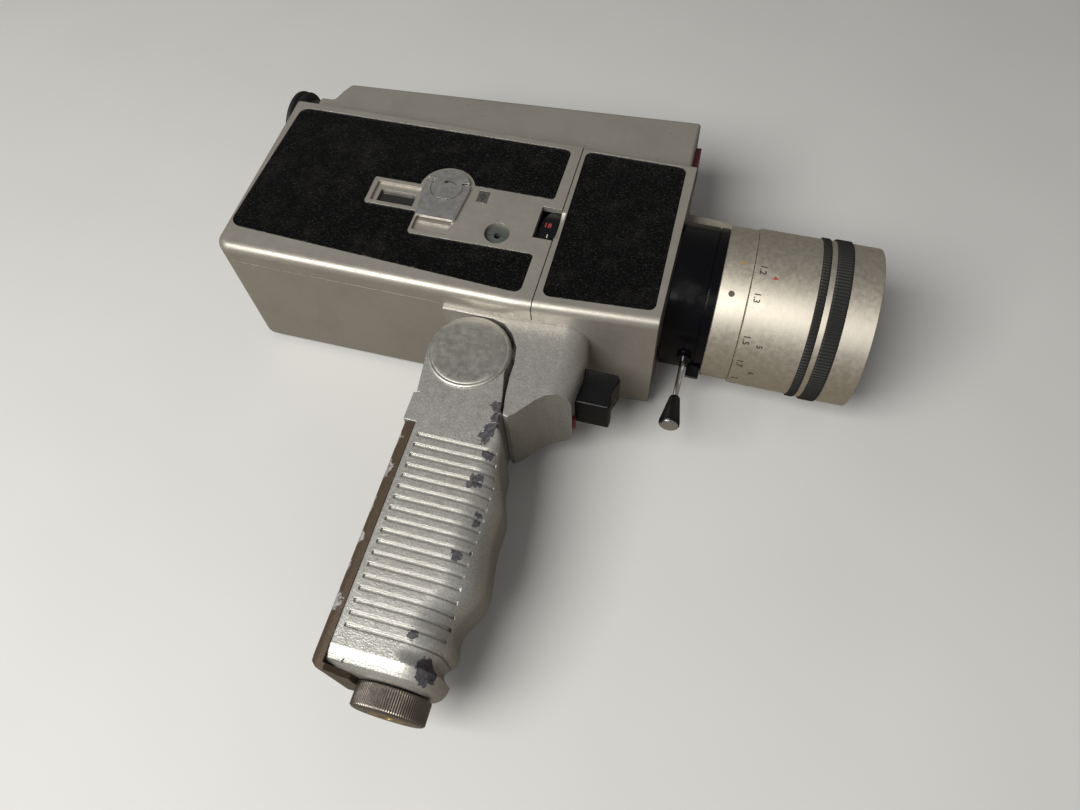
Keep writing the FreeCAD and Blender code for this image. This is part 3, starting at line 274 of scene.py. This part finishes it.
def moulded(name, base, rough, spec, dust, grain):
    """Smooth moulding with dust and paler corners."""
    mat = Material(name)
    broad = mat.noise(scale=0.12, rough=0.6)
    fine = mat.noise(scale=4.0, rough=0.6)
    lint = mat.noise(scale=2.4, detail=6.0, rough=0.8)
    dusty = mat.times(mat.ramp(lint, start=0.66, end=0.72),
                      mat.ramp(broad, start=0.42, end=0.6), clamp=True)
    color = mat.mix(mat.times(dusty, dust), base, (0.42, 0.40, 0.38))
    corner = mat.times(mat.edges(0.3, start=0.04, end=0.25), 0.25)
    color = mat.mix(corner, color, tinted(base, 2.5, lift=0.02))
    dull = mat.ramp(broad, start=0.3, end=0.7, low=rough - 0.05, high=rough + 0.08)
    mat.set(color=color, rough=mat.plus(dull, mat.times(dusty, 0.3)), spec=spec,
            normal=mat.bump(mat.times(fine, grain), normal=mat.soft(0.3)))


def glassy(name, tint, rough, trans):
    """Slightly smeared, coated glass."""
    mat = Material(name)
    smear = mat.noise(scale=0.25, detail=4.0, rough=0.7)
    mat.set(color=mat.mix(mat.ramp(smear, start=0.4, end=0.8), tint, tinted(tint, 0.9)),
            rough=mat.ramp(smear, start=0.4, end=0.8, low=rough, high=rough + 0.08),
            trans=trans, ior=1.5, coat=0.3, coat_rough=0.03,
            normal=mat.bump(mat.noise(scale=0.8, detail=2.0), depth=0.002))


def ink(name, color):
    """Flat printed ink."""
    mat = Material(name)
    blotch = mat.noise(scale=2.0, detail=4.0, rough=0.7)
    mat.set(color=mat.mix(mat.ramp(blotch, start=0.3, end=0.8), color,
                          tinted(color, 0.6, lift=0.05)),
            rough=mat.ramp(blotch, start=0.3, end=0.7, low=0.4, high=0.6),
            normal=mat.bump(blotch, depth=0.004))


# Patches of lost paint: x, y, z, radius
GRIP_CHIPS = (
    (6.8, -20.2, 108.0, 2.6), (7.4, -20.2, 103.5, 2.4), (7.0, -20.2, 98.5, 2.8),
    (6.0, -20.2, 95.0, 2.4), (9.0, -20.0, 89.2, 2.2), (8.0, -20.2, 79.0, 2.6),
    (6.0, -20.2, 77.0, 1.6), (12.8, -18.5, 67.3, 2.0), (12.4, -18.5, 64.4, 1.7),
    (9.4, -19.6, 52.3, 2.1), (13.0, -16.5, 33.0, 0.9), (13.4, -17.0, 54.4, 0.7),
    (4.4, -20.2, 24.6, 2.2), (11.4, -15.5, 15.0, 4.6), (-14.2, -20.2, 10.2, 2.0),
    (-10.4, -20.2, 10.6, 1.7), (-12.4, -20.2, 9.4, 1.8), (15.0, 15.0, 30.0, 3.0),
    (-6.0, 20.2, 100.0, 2.4))
# The same at x = -24.6: y, z, radius
COVER_CHIPS = tuple((-24.6, y, z, radius) for y, z, radius in (
    (-16, 88, 4.0), (-18, 76, 3.4), (-15, 62, 4.5), (-18, 50, 3.0), (-16, 40, 3.2),
    (-18, 28, 3.6), (-14, 18, 3.0), (2, 70, 7.0), (6, 30, 8.0), (-4, 48, 5.0), (14, 84, 5.0)))

painted("silver_paint", (0.43, 0.405, 0.36), chip=(0.06, 0.045, 0.03), bare=(0.75, 0.72, 0.66),
        grain=3.0, grain_height=0.014, wear=0.35, metal=0.6, rough=0.40, dots=0.12, seam_x=8.85)
painted("hammered_paint", (0.55, 0.543, 0.51), chip=(0.040, 0.038, 0.042), bare=(0.8, 0.8, 0.78),
        grain=1.7, grain_height=0.11, wear=0.10, metal=0.72, rough=0.36,
        lost_spots=GRIP_CHIPS, edge_round=0.7)
painted("worn_paint", (0.105, 0.075, 0.052), chip=(0.16, 0.155, 0.155), bare=(0.85, 0.83, 0.8),
        grain=1.3, grain_height=0.05, wear=0.25, metal=0.4, rough=0.36, lost_spots=COVER_CHIPS)
leather("leatherette")
turned("satin_aluminium", (0.72, 0.67, 0.575), rough=0.50, stain=0.07, scratch=0.15)
turned("steel", (0.58, 0.57, 0.56), rough=0.28, axis="Y")
turned("spring_steel", (0.45, 0.44, 0.46), rough=0.25, axis="Y")
turned("brass", (0.62, 0.43, 0.17), rough=0.3, axis="Z")
turned("grey_casting", (0.42, 0.42, 0.42), rough=0.5, axis="Z", streak=2.0)
turned("nickel", (0.30, 0.275, 0.245), rough=0.34, axis="Z", stain=0.3, scratch=0.6)
turned("chrome_steel", (0.72, 0.72, 0.73), rough=0.09, axis="Z", stain=0.05)
turned("cell_jacket", (0.10, 0.16, 0.30), rough=0.3, axis="Z")
moulded("black_enamel", (0.002, 0.002, 0.003), rough=0.16, spec=0.22, dust=0.55, grain=0.004)
moulded("black_rubber", (0.016, 0.016, 0.016), rough=0.52, spec=0.35, dust=0.3, grain=0.03)
moulded("black_plastic", (0.005, 0.005, 0.0055), rough=0.27, spec=0.32, dust=0.25, grain=0.006)
moulded("dark_plastic", (0.02, 0.02, 0.021), rough=0.5, spec=0.4, dust=0.2, grain=0.02)
moulded("red_plastic", (0.16, 0.018, 0.012), rough=0.3, spec=0.5, dust=0.15, grain=0.006)
glassy("lens_glass", (0.80, 0.84, 0.92), rough=0.02, trans=1.0)
glassy("smoke_glass", (0.03, 0.028, 0.026), rough=0.06, trans=0.3)
glassy("red_glass", (0.16, 0.006, 0.012), rough=0.05, trans=0.35)
turned("mirror_glass", (0.88, 0.88, 0.9), rough=0.04, axis="Z", stain=0.02)
ink("ink_black", (0.015, 0.013, 0.012))
ink("ink_red", (0.42, 0.03, 0.03))
ink("ink_white", (0.75, 0.74, 0.70))
ink("ink_gold", (0.38, 0.24, 0.10))
turned("latch_grey", (0.66, 0.65, 0.63), rough=0.42, axis="Y", stain=0.03, scratch=0.1)
turned("disc_grey", (0.62, 0.61, 0.56), rough=0.42, axis="Y", stain=0.04, scratch=0.35)
turned("plate_grey", (0.34, 0.335, 0.315), rough=0.4, axis="Y", stain=0.03, scratch=0.1)
turned("socket_grey", (0.10, 0.112, 0.10), rough=0.5, axis="Y", metal=0.3,
       stain=0.1, scratch=0.3)
turned("screw_dark", (0.10, 0.09, 0.08), rough=0.4, stain=0.1, scratch=0.3)
painted("drive_cover_paint", (0.36, 0.33, 0.28), chip=(0.06, 0.045, 0.03), bare=(0.7, 0.66, 0.6),
        grain=3.0, grain_height=0.012, wear=0.2, metal=0.6, rough=0.4)

# Parts that don't take the material named by their slot
SPECIAL = {"latch_key": "latch_grey", "latch_hub": "latch_grey",
           "film_plane_plate": "plate_grey", "remote_socket": "socket_grey",
           "index_ring_screws": "screw_dark", "zoom_drive_cover": "drive_cover_paint"}
slot_of = {part["node"]: part["material_slot"] for part in frame["record"]["subparts"]}
for name, part in frame["nodes"].items():
    material = MATERIALS[SPECIAL.get(name) or slot_of[name]]
    if not part.material_slots:
        part.data.materials.append(material)
    for slot in part.material_slots:
        slot.material = material


# --------------------------------------------------------------- mesh helpers
def piece(name, verts, faces, material, body, slot=None, smooth=True, instead=()):
    """Mesh object riding on a body; vertices in millimetres."""
    mesh = bpy.data.meshes.new(name)
    mesh.from_pydata([tuple(c * MM for c in vert) for vert in verts], [], faces)
    mesh.validate()
    mesh.update()
    if smooth:
        mesh.polygons.foreach_set("use_smooth", [True] * len(mesh.polygons))
    mesh.materials.append(MATERIALS[material])
    made = bpy.data.objects.new(name, mesh)
    bpy.context.scene.collection.objects.link(made)
    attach(made, body)
    if instead:
        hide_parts(*instead)


def lathe(profile, steps, origin, axis, bend=None):
    """Closed ring from a closed profile of (along, radius).

    bend(step, along, radius) may change the radius.
    """
    count = len(profile)
    verts, faces = [], []
    for j in range(steps):
        angle = 2 * math.pi * j / steps
        cos, sin = math.cos(angle), math.sin(angle)
        for along, r in profile:
            if bend:
                r = bend(j, along, r)
            spot = {"X": (along, r * cos, r * sin),
                    "Y": (r * sin, along, r * cos),
                    "Z": (r * cos, r * sin, along)}[axis]
            verts.append(tuple(a + b for a, b in zip(spot, origin)))
    for j in range(steps):
        following = (j + 1) % steps
        for i in range(count):
            m = (i + 1) % count
            if profile[i][1] < 1e-6 and profile[m][1] < 1e-6:
                continue
            faces.append((j * count + i, j * count + m,
                          following * count + m, following * count + i))
    return verts, faces


def cut_corners(points, rounds):
    """Softens a closed profile by cutting its corners."""
    for _ in range(rounds):
        out = []
        for a, b in zip(points, points[1:] + points[:1]):
            out.append((a[0] * 0.75 + b[0] * 0.25, a[1] * 0.75 + b[1] * 0.25))
            out.append((a[0] * 0.25 + b[0] * 0.75, a[1] * 0.25 + b[1] * 0.75))
        points = out
    return points


def finer(points, step):
    """Splits the sides of a closed profile to at most the step."""
    out = []
    for a, b in zip(points, points[1:] + points[:1]):
        parts = max(1, int(math.ceil(math.hypot(b[0] - a[0], b[1] - a[1]) / step)))
        for k in range(parts):
            out.append((a[0] + (b[0] - a[0]) * k / parts, a[1] + (b[1] - a[1]) * k / parts))
    return out


def polar(radius, angle):
    return radius * math.cos(angle), radius * math.sin(angle)


def open_edges(faces):
    """Directed edges that belong to one face only."""
    uses = {}
    for face in faces:
        for a, b in zip(face, face[1:] + face[:1]):
            uses.setdefault((min(a, b), max(a, b)), []).append((a, b))
    return [found[0] for found in uses.values() if len(found) == 1]


# ------------------------------------------------------------------ foot knob
KNOB_RADIUS = 12.7
KNOB_BORE = 5.03
KNOB_RIDGES = 96
RIDGE_STEPS = 8
# z, radius
KNOB_PROFILE = [(1.25, KNOB_BORE), (1.25, 7.1), (0.0, 7.1), (0.0, 7.6), (0.1, 11.2),
                (0.35, 12.1), (0.9, KNOB_RADIUS), (7.9, KNOB_RADIUS), (8.3, 12.3),
                (8.5, 11.6), (8.5, KNOB_BORE)]


def knurl(j, z, r):
    """Ridges on the rim that fade out at both ends."""
    if r < 12.0:
        return r
    ridge = abs((j % RIDGE_STEPS) / RIDGE_STEPS - 0.5) * 2.0
    depth = 0.34 * min(1.0, max(0.0, (z - 0.5) / 0.5)) * min(1.0, max(0.0, (8.2 - z) / 0.5))
    wear = 0.75 + 0.25 * field.noise(Vector((j * 0.01, z * 0.3, 3.0)))
    return r - depth * (1.0 - ridge ** 0.8) * wear + (0.04 if r > 12.6 else 0)


piece("foot_knob_knurled",
      *lathe(finer(KNOB_PROFILE, 0.55), KNOB_RIDGES * RIDGE_STEPS, (0, 0, 0), "Z", knurl),
      "nickel", "foot", "nickel", instead=("foot_knob",))

# --------------------------------------------------------------- rubber rings
RING_BORE = 30.85
RING_BEVEL = 0.35
RING_TEETH = 150
TOOTH_CUTS = (0.0, 0.0, 0.22, 0.45, 0.45, 0.22)  # groove depth at the steps of one tooth


def rubber_ring(number, rear, front, radius):
    """Toothed ring round the lens, between two x places."""
    shoulder = radius - RING_BEVEL
    profile = [(rear, RING_BORE), (front, RING_BORE), (front, shoulder),
               (front - RING_BEVEL, radius), (rear + RING_BEVEL, radius), (rear, shoulder)]

    def rib(j, x, r):
        if r < radius - 0.4:
            return r
        cut = TOOTH_CUTS[j % len(TOOTH_CUTS)]
        if x < rear + 0.3 or x > front - 0.3:
            cut *= 0.35
        return r - cut

    piece("rubber_ring_%d" % number,
          *lathe(finer(profile, 0.7), RING_TEETH * len(TOOTH_CUTS), (0, 0, LENS_Z), "X", rib),
          "black_rubber", "focus", "black_rubber", instead=("rubber_rings",))


rubber_ring(1, rear=109.8, front=113.0, radius=32.15)
rubber_ring(2, rear=115.1, front=121.1, radius=32.4)

# --------------------------------------------------------------- pivot discs
PIVOT_CENTRE = (-10.2, 0, 127.7)
# distance from the middle plane, radius; a fine groove runs near the rim
PIVOT_PROFILE = ((20.2, 0.0), (21.06, 0.0), (21.14, 13.6), (21.06, 14.2), (20.96, 14.35),
                 (21.06, 14.5), (21.0, 15.2), (20.75, 15.6), (20.2, 15.6))
for side, tag in ((-1, "right"), (1, "left")):
    profile = finer([(y * side, radius) for y, radius in PIVOT_PROFILE], 1.4)
    verts, faces = lathe(profile, 160, PIVOT_CENTRE, "Y")
    if side > 0:
        faces = [tuple(reversed(face)) for face in faces]
    piece("pivot_disc_" + tag, verts, faces, "disc_grey", "grip", "satin_aluminium",
          instead=("pivot_caps",))

# --------------------------------------------------------------------- eyecup
EYE_Z = 244.5
# x, radius
EYECUP_PROFILE = [(-133.4, 9.4), (-129.5, 9.4), (-129.5, 12.4), (-130.2, 14.3), (-131.3, 15.2),
                  (-132.2, 15.0), (-132.8, 14.0), (-133.4, 14.0), (-134.0, 15.2), (-135.3, 15.4),
                  (-136.2, 14.4), (-135.4, 12.0), (-134.4, 10.2)]


def uneven(j, x, r):
    return r + 0.12 * field.noise(Vector((j * 0.13, x * 0.3, 1.0)))


piece("eyecup_soft", *lathe(cut_corners(EYECUP_PROFILE, 2), 96, (0, 0, EYE_Z), "X", uneven),
      "black_rubber", "diopter", "black_rubber", instead=("eyecup",))

# ---------------------------------------------------------------- leatherette
LEATHER_FACE_Y = {-1: -30.0, 1: 32.4}  # outer face on the right and left sides
LEATHER_THICK = 0.6
LEATHER_GRID = 0.42


def rounded(corners, step=0.5):
    """Outline with arcs at corners given as (x, z, radius); (x, z) stays sharp."""
    out = []
    for i, corner in enumerate(corners):
        tip = Vector(corner[:2])
        if len(corner) < 3:
            out.append(tuple(tip))
            continue
        radius = corner[2]
        before = (Vector(corners[i - 1][:2]) - tip).normalized()
        after = (Vector(corners[(i + 1) % len(corners)][:2]) - tip).normalized()
        half = math.acos(max(-1, min(1, before.dot(after)))) / 2
        reach = radius / math.tan(half)
        first, last = tip + before * reach, tip + after * reach
        centre = tip + (before + after).normalized() * (radius / math.sin(half))
        start = math.atan2(first.y - centre.y, first.x - centre.x)
        end = math.atan2(last.y - centre.y, last.x - centre.x)
        turn = (end - start + math.pi) % (2 * math.pi) - math.pi
        parts = max(3, int(abs(turn) * radius / step) + 1)
        for k in range(parts + 1):
            angle = start + turn * k / parts
            out.append((centre.x + radius * math.cos(angle), centre.y + radius * math.sin(angle)))
    return out


def measure(points, outline, holes):
    """For each point: distance to the border, nearest border point, inside or not."""
    distance = np.full(len(points), 1e9)
    nearest = points.copy()
    inside = np.zeros(len(points), bool)
    for a, b in zip(outline, np.roll(outline, -1, axis=0)):
        edge = b - a
        square = float(edge @ edge)
        if square < 1e-12:
            continue
        t = np.clip(((points - a) @ edge) / square, 0, 1)
        foot = a + t[:, None] * edge
        away = np.hypot(*(points - foot).T)
        closer = away < distance
        distance[closer] = away[closer]
        nearest[closer] = foot[closer]
        spans = (a[1] > points[:, 1]) != (b[1] > points[:, 1])
        with np.errstate(divide="ignore", invalid="ignore"):
            crossing = a[0] + (points[:, 1] - a[1]) * (b[0] - a[0]) / (b[1] - a[1])
        inside ^= spans & (points[:, 0] < crossing)
    for x, z, radius in holes:
        from_centre = np.hypot(points[:, 0] - x, points[:, 1] - z)
        gap = from_centre - radius
        closer = np.abs(gap) < distance
        outward = (points - (x, z)) / np.maximum(from_centre, 1e-6)[:, None]
        nearest[closer] = ((x, z) + outward * radius)[closer]
        distance[closer] = np.abs(gap)[closer]
        inside &= gap > 0
    return distance, nearest, inside


def skin(name, corners, side, body, instead, holes=()):
    """Leather sheet: a fine grid pressed into pebbles, with a turned-down rim."""
    step = LEATHER_GRID
    face_y = LEATHER_FACE_Y[side]
    outline = np.array(rounded(corners))
    x0, z0 = outline.min(axis=0)
    x1, z1 = outline.max(axis=0)
    nx, nz = int((x1 - x0) / step) + 3, int((z1 - z0) / step) + 3
    grid_x, grid_z = np.meshgrid(x0 - step + np.arange(nx) * step,
                                 z0 - step + np.arange(nz) * step, indexing="ij")
    points = np.stack([grid_x.ravel(), grid_z.ravel()], axis=1)
    distance, nearest, inside = measure(points, outline, holes)

    # points close to the border snap onto it
    snap = distance < step * 0.5
    points = np.where(snap[:, None], nearest, points)
    distance = np.where(snap, 0.0, distance)
    index = np.arange(len(points)).reshape(nx, nz)
    quads = np.stack([index[:-1, :-1], index[1:, :-1], index[1:, 1:], index[:-1, 1:]],
                     axis=-1).reshape(-1, 4)
    quads = quads[(inside | snap)[quads].all(axis=1) & inside[quads].any(axis=1)]
    used = np.unique(quads)
    renumber = -np.ones(len(points), int)
    renumber[used] = np.arange(len(used))
    quads = renumber[quads]

    verts = []
    for (x, z), border in zip(points[used], distance[used]):
        height = (field.noise(Vector((x * 0.95, z * 1.9, 4.0)))
                  + 0.5 * field.noise(Vector((x * 2.1, z * 3.4, 9.0))))
        height = max(-0.35, min(0.55, height))
        drop = 0.30 * math.exp(-border / 0.35)
        verts.append((x, face_y - side * (0.10 - 0.16 * (height - 0.1) + drop), z))
    faces = [tuple(q) if side < 0 else tuple(reversed(q)) for q in quads.tolist()]

    back_y = face_y - side * LEATHER_THICK
    low = {}
    for a, b in open_edges(faces):
        for corner in (a, b):
            if corner not in low:
                low[corner] = len(verts)
                verts.append((verts[corner][0], back_y, verts[corner][2]))
        faces.append((b, a, low[a], low[b]))
    piece(name, verts, faces, "leatherette", body, "leatherette", instead=instead)


# Corners: x, z, radius.  Holes: x, z, radius.
skin("door_leather",
     [(-117.05, 225.65, 4.0), (-119.95, 157.05, 5.0), (3.35, 151.25, 3.0), (3.55, 170.25, 1.6),
      (-48.25, 169.25, 1.6), (-48.25, 180.55), (-70.75, 180.55, 0.8), (-70.75, 194.55, 0.8),
      (-48.05, 194.55), (-48.05, 198.65), (4.15, 198.65, 1.6), (4.55, 226.55, 3.0)],
     -1, "door", ("door_leatherette",), holes=((-39.6, 194.2, 11.55),))
skin("front_leather",
     [(10.65, 227.25, 3.0), (11.55, 152.15, 3.0), (53.75, 155.05, 3.0), (52.35, 227.05, 3.0)],
     -1, "root", ("front_leatherette",))
skin("left_leather",
     [(-116.95, 224.55, 3.0), (-116.95, 151.85, 3.0), (4.95, 151.85, 3.0), (4.95, 224.55, 3.0)],
     1, "root", ("left_leatherette",),
     holes=tuple((x, z, 2.3) for x in (-112.0, 0.0) for z in (219.5, 157.0)))


# -------------------------------------------------------------- printed marks
INK_TOP = 0.02      # above the surface
INK_BOTTOM = -0.05  # sunk into it


def glyphs(text, tall):
    """Flat text as (points, faces), centred, from the built-in font."""
    curve = bpy.data.curves.new("glyph", "FONT")
    curve.body = text
    curve.size = 1.0
    curve.align_x = "CENTER"
    curve.align_y = "CENTER"
    curve.resolution_u = 3
    curve.offset = 0.018
    holder = bpy.data.objects.new("glyph", curve)
    bpy.context.scene.collection.objects.link(holder)
    evaluated = holder.evaluated_get(bpy.context.evaluated_depsgraph_get())
    mesh = evaluated.to_mesh()
    points = [(v.co.x, v.co.y) for v in mesh.vertices]
    faces = [tuple(p.vertices) for p in mesh.polygons]
    evaluated.to_mesh_clear()
    bpy.data.objects.remove(holder)
    bpy.data.curves.remove(curve)
    xs, ys = zip(*points)
    scale = tall / (max(ys) - min(ys))
    middle_x = (max(xs) + min(xs)) / 2
    middle_y = (max(ys) + min(ys)) / 2
    return [((x - middle_x) * scale, (y - middle_y) * scale) for x, y in points], faces


def printed(name, shape, place, ink_name, body):
    """Thin slab of ink; place(across, up, height) puts a flat point on the surface."""
    points, flat = shape
    verts = [place(*point, height) for height in (INK_TOP, INK_BOTTOM) for point in points]
    count = len(points)
    faces = flat + [(b, a, a + count, b + count) for a, b in open_edges(flat)]
    piece(name, verts, faces, ink_name, body, smooth=False)


def on_barrel(name, shape, x, degrees, radius, ink_name, body):
    """Mark wrapped round the lens; its up direction is +X."""
    def place(across, up, height):
        y, z = polar(radius + height, math.radians(degrees) + across / radius)
        return x + up, y, LENS_Z + z

    printed(name, shape, place, ink_name, body)


def on_side(name, shape, x, y, z, ink_name, body):
    """Mark on a face that looks along -Y."""
    printed(name, shape, lambda across, up, height: (x + across, y - height, z + up),
            ink_name, body)


# Scale on the focus ring: text, height, x, degrees round the lens, ink
SCALE = (
    ("1.2", 2.5, 89.2, -170.0, "ink_black"), ("1.3", 2.5, 89.0, -150.0, "ink_black"),
    ("1.5", 2.5, 88.7, -120.0, "ink_black"), ("1.7", 2.5, 88.6, -99.5, "ink_black"),
    ("2", 2.5, 88.5, -80.0, "ink_black"), ("2.5", 2.5, 88.6, -62.0, "ink_black"),
    ("3", 2.5, 88.6, -44.0, "ink_black"), ("4", 2.3, 94.0, -166.0, "ink_red"),
    ("5", 2.3, 94.0, -117.0, "ink_black"), ("6", 2.3, 93.8, -91.0, "ink_black"),
    ("10", 2.3, 94.0, -62.0, "ink_black"))
for i, (text, tall, x, degrees, ink_name) in enumerate(SCALE):
    on_barrel("scale_number_%d" % i, glyphs(text, tall), x, degrees, 31.5, ink_name, "focus")
on_barrel("index_triangle", ([(-1.1, -1.2), (1.1, -1.2), (0, 1.4)], [(0, 1, 2)]),
          81.5, -174.0, 30.7, "ink_gold", "root")

# Numbers on the dial: text, height, degrees round the dial, ink
DIAL_X, DIAL_Y, DIAL_Z = 14.2, -27.2, 186.2
DIAL_TEXT_RADIUS = 9.6
DIAL = (("18", 2.3, 172.0, "ink_red"), ("24", 2.3, 110.0, "ink_white"),
        ("36", 2.3, 60.0, "ink_white"), ("9", 2.3, 228.0, "ink_white"),
        ("1", 1.8, 205.0, "ink_white"))
for i, (text, tall, degrees, ink_name) in enumerate(DIAL):
    across, up = polar(DIAL_TEXT_RADIUS, math.radians(degrees))
    on_side("dial_number_%d" % i, glyphs(text, tall), DIAL_X + across, DIAL_Y, DIAL_Z + up,
            ink_name, "dial")


def curved_arrow():
    """Arc that thickens towards the rear, where its head is."""
    radius, parts = 3.9, 16
    outer, inner = [], []
    for k in range(parts + 1):
        t = k / parts
        angle = math.radians(38 + 88 * t)
        outer.append(polar(radius + 0.10 + 0.12 * t, angle))
        inner.append(polar(radius - 0.10 - 0.34 * t, angle))
    points = outer + inner[::-1]
    last = len(points) - 1
    faces = [(k, k + 1, last - 1 - k, last - k) for k in range(parts)]
    head = len(points)
    base, tip = math.radians(108), math.radians(132)
    points += [polar(4.75, base), polar(2.95, base), polar(3.75, tip)]
    faces.append((head, head + 2, head + 1))
    return points, faces


def crossed_circle():
    """Circle crossed by an upright bar."""
    parts, half_width, half_height = 24, 0.16, 2.3
    points, faces = [], []
    for k in range(parts):
        angle = 2 * math.pi * k / parts
        points += [polar(1.2, angle), polar(0.85, angle)]
        j = (k + 1) % parts
        faces.append((2 * k, 2 * k + 1, 2 * j + 1, 2 * j))
    bar = len(points)
    points += [(-half_width, -half_height), (half_width, -half_height),
               (half_width, half_height), (-half_width, half_height)]
    faces.append((bar, bar + 1, bar + 2, bar + 3))
    return points, faces


on_side("latch_arrow", curved_arrow(), -39.0, -31.3, 193.4, "ink_black", "latch")
on_side("film_plane_mark", crossed_circle(), -24.0, -30.05, 193.5, "ink_black", "door")

# ---------------------------------------------------------------------- stage
FLOOR_Y, FLOOR_HALF = 0.0345, 3  # metres


def floor_material():
    """Pale to the view, darker in bounced light, and clear from behind."""
    mat = Material("floor_pale")
    seen = mat.node("LightPath").outputs["Is Camera Ray"]
    pale = mat.mix(mat.noise(scale=0.01, detail=2.0), (0.60, 0.60, 0.59), (0.66, 0.66, 0.65))
    mat.set(color=mat.mix(seen, (0.20, 0.18, 0.15), pale), rough=0.7, spec=0.2)
    clear = mat.node("BsdfTransparent").outputs[0]
    sides = mat.node("MixShader", {0: mat.geometry["Backfacing"],
                                   1: mat.shader.outputs[0], 2: clear})
    mat.put(mat.output.inputs[0], sides.outputs[0])
    return MATERIALS["floor_pale"]


floor_mesh = bpy.data.meshes.new("floor")
floor_mesh.from_pydata([(x * FLOOR_HALF, FLOOR_Y, z * FLOOR_HALF)
                        for x, z in ((-1, -1), (1, -1), (1, 1), (-1, 1))], [], [(0, 1, 2, 3)])
floor = bpy.data.objects.new("floor", floor_mesh)
bpy.context.scene.collection.objects.link(floor)
floor_mesh.materials.append(floor_material())

world = bpy.data.worlds.new("studio")
bpy.context.scene.world = world
world.use_nodes = True
background = world.node_tree.nodes["Background"]
background.inputs["Color"].default_value = (1.0, 0.98, 0.95, 1)
background.inputs["Strength"].default_value = 0.16


def lamp(name, at, look, size, power, color):
    """Rectangular light aimed at a point; metres and watts."""
    light = bpy.data.lights.new(name, "AREA")
    light.shape = "RECTANGLE"
    light.size, light.size_y = size
    light.energy = power
    light.color = color
    holder = bpy.data.objects.new(name, light)
    bpy.context.scene.collection.objects.link(holder)
    holder.location = at
    holder.rotation_euler = (Vector(look) - Vector(at)).to_track_quat("-Z", "Y").to_euler()


lamp("key", at=(-0.34, -0.76, -0.36), look=(0, 0, 0.12), size=(0.62, 0.5), power=10.6,
     color=(1.0, 0.98, 0.94))
lamp("fill", at=(0.35, -0.5, -0.45), look=(0, 0, 0.19), size=(0.4, 0.4), power=0.45,
     color=(0.95, 0.97, 1.0))

# View: eye place in millimetres and its three unit directions
EYE = Vector((69.1, -275.0, -18.7))
RIGHT = Vector((0.96348, 0.04420, 0.26412))
DOWN = Vector((0.21178, 0.47787, -0.85252))
AHEAD = Vector((-0.16390, 0.87732, 0.45105))

lens = bpy.data.cameras.new("view")
lens.lens = 27.03
lens.sensor_width = 36.0
lens.clip_start = 0.01
camera = bpy.data.objects.new("view", lens)
bpy.context.scene.collection.objects.link(camera)
pose = Matrix.Identity(4)
for row in range(3):
    pose[row] = (RIGHT[row], -DOWN[row], -AHEAD[row], EYE[row] * MM)
camera.matrix_world = pose
bpy.context.scene.camera = camera
bpy.context.scene.view_settings.view_transform = "Standard"
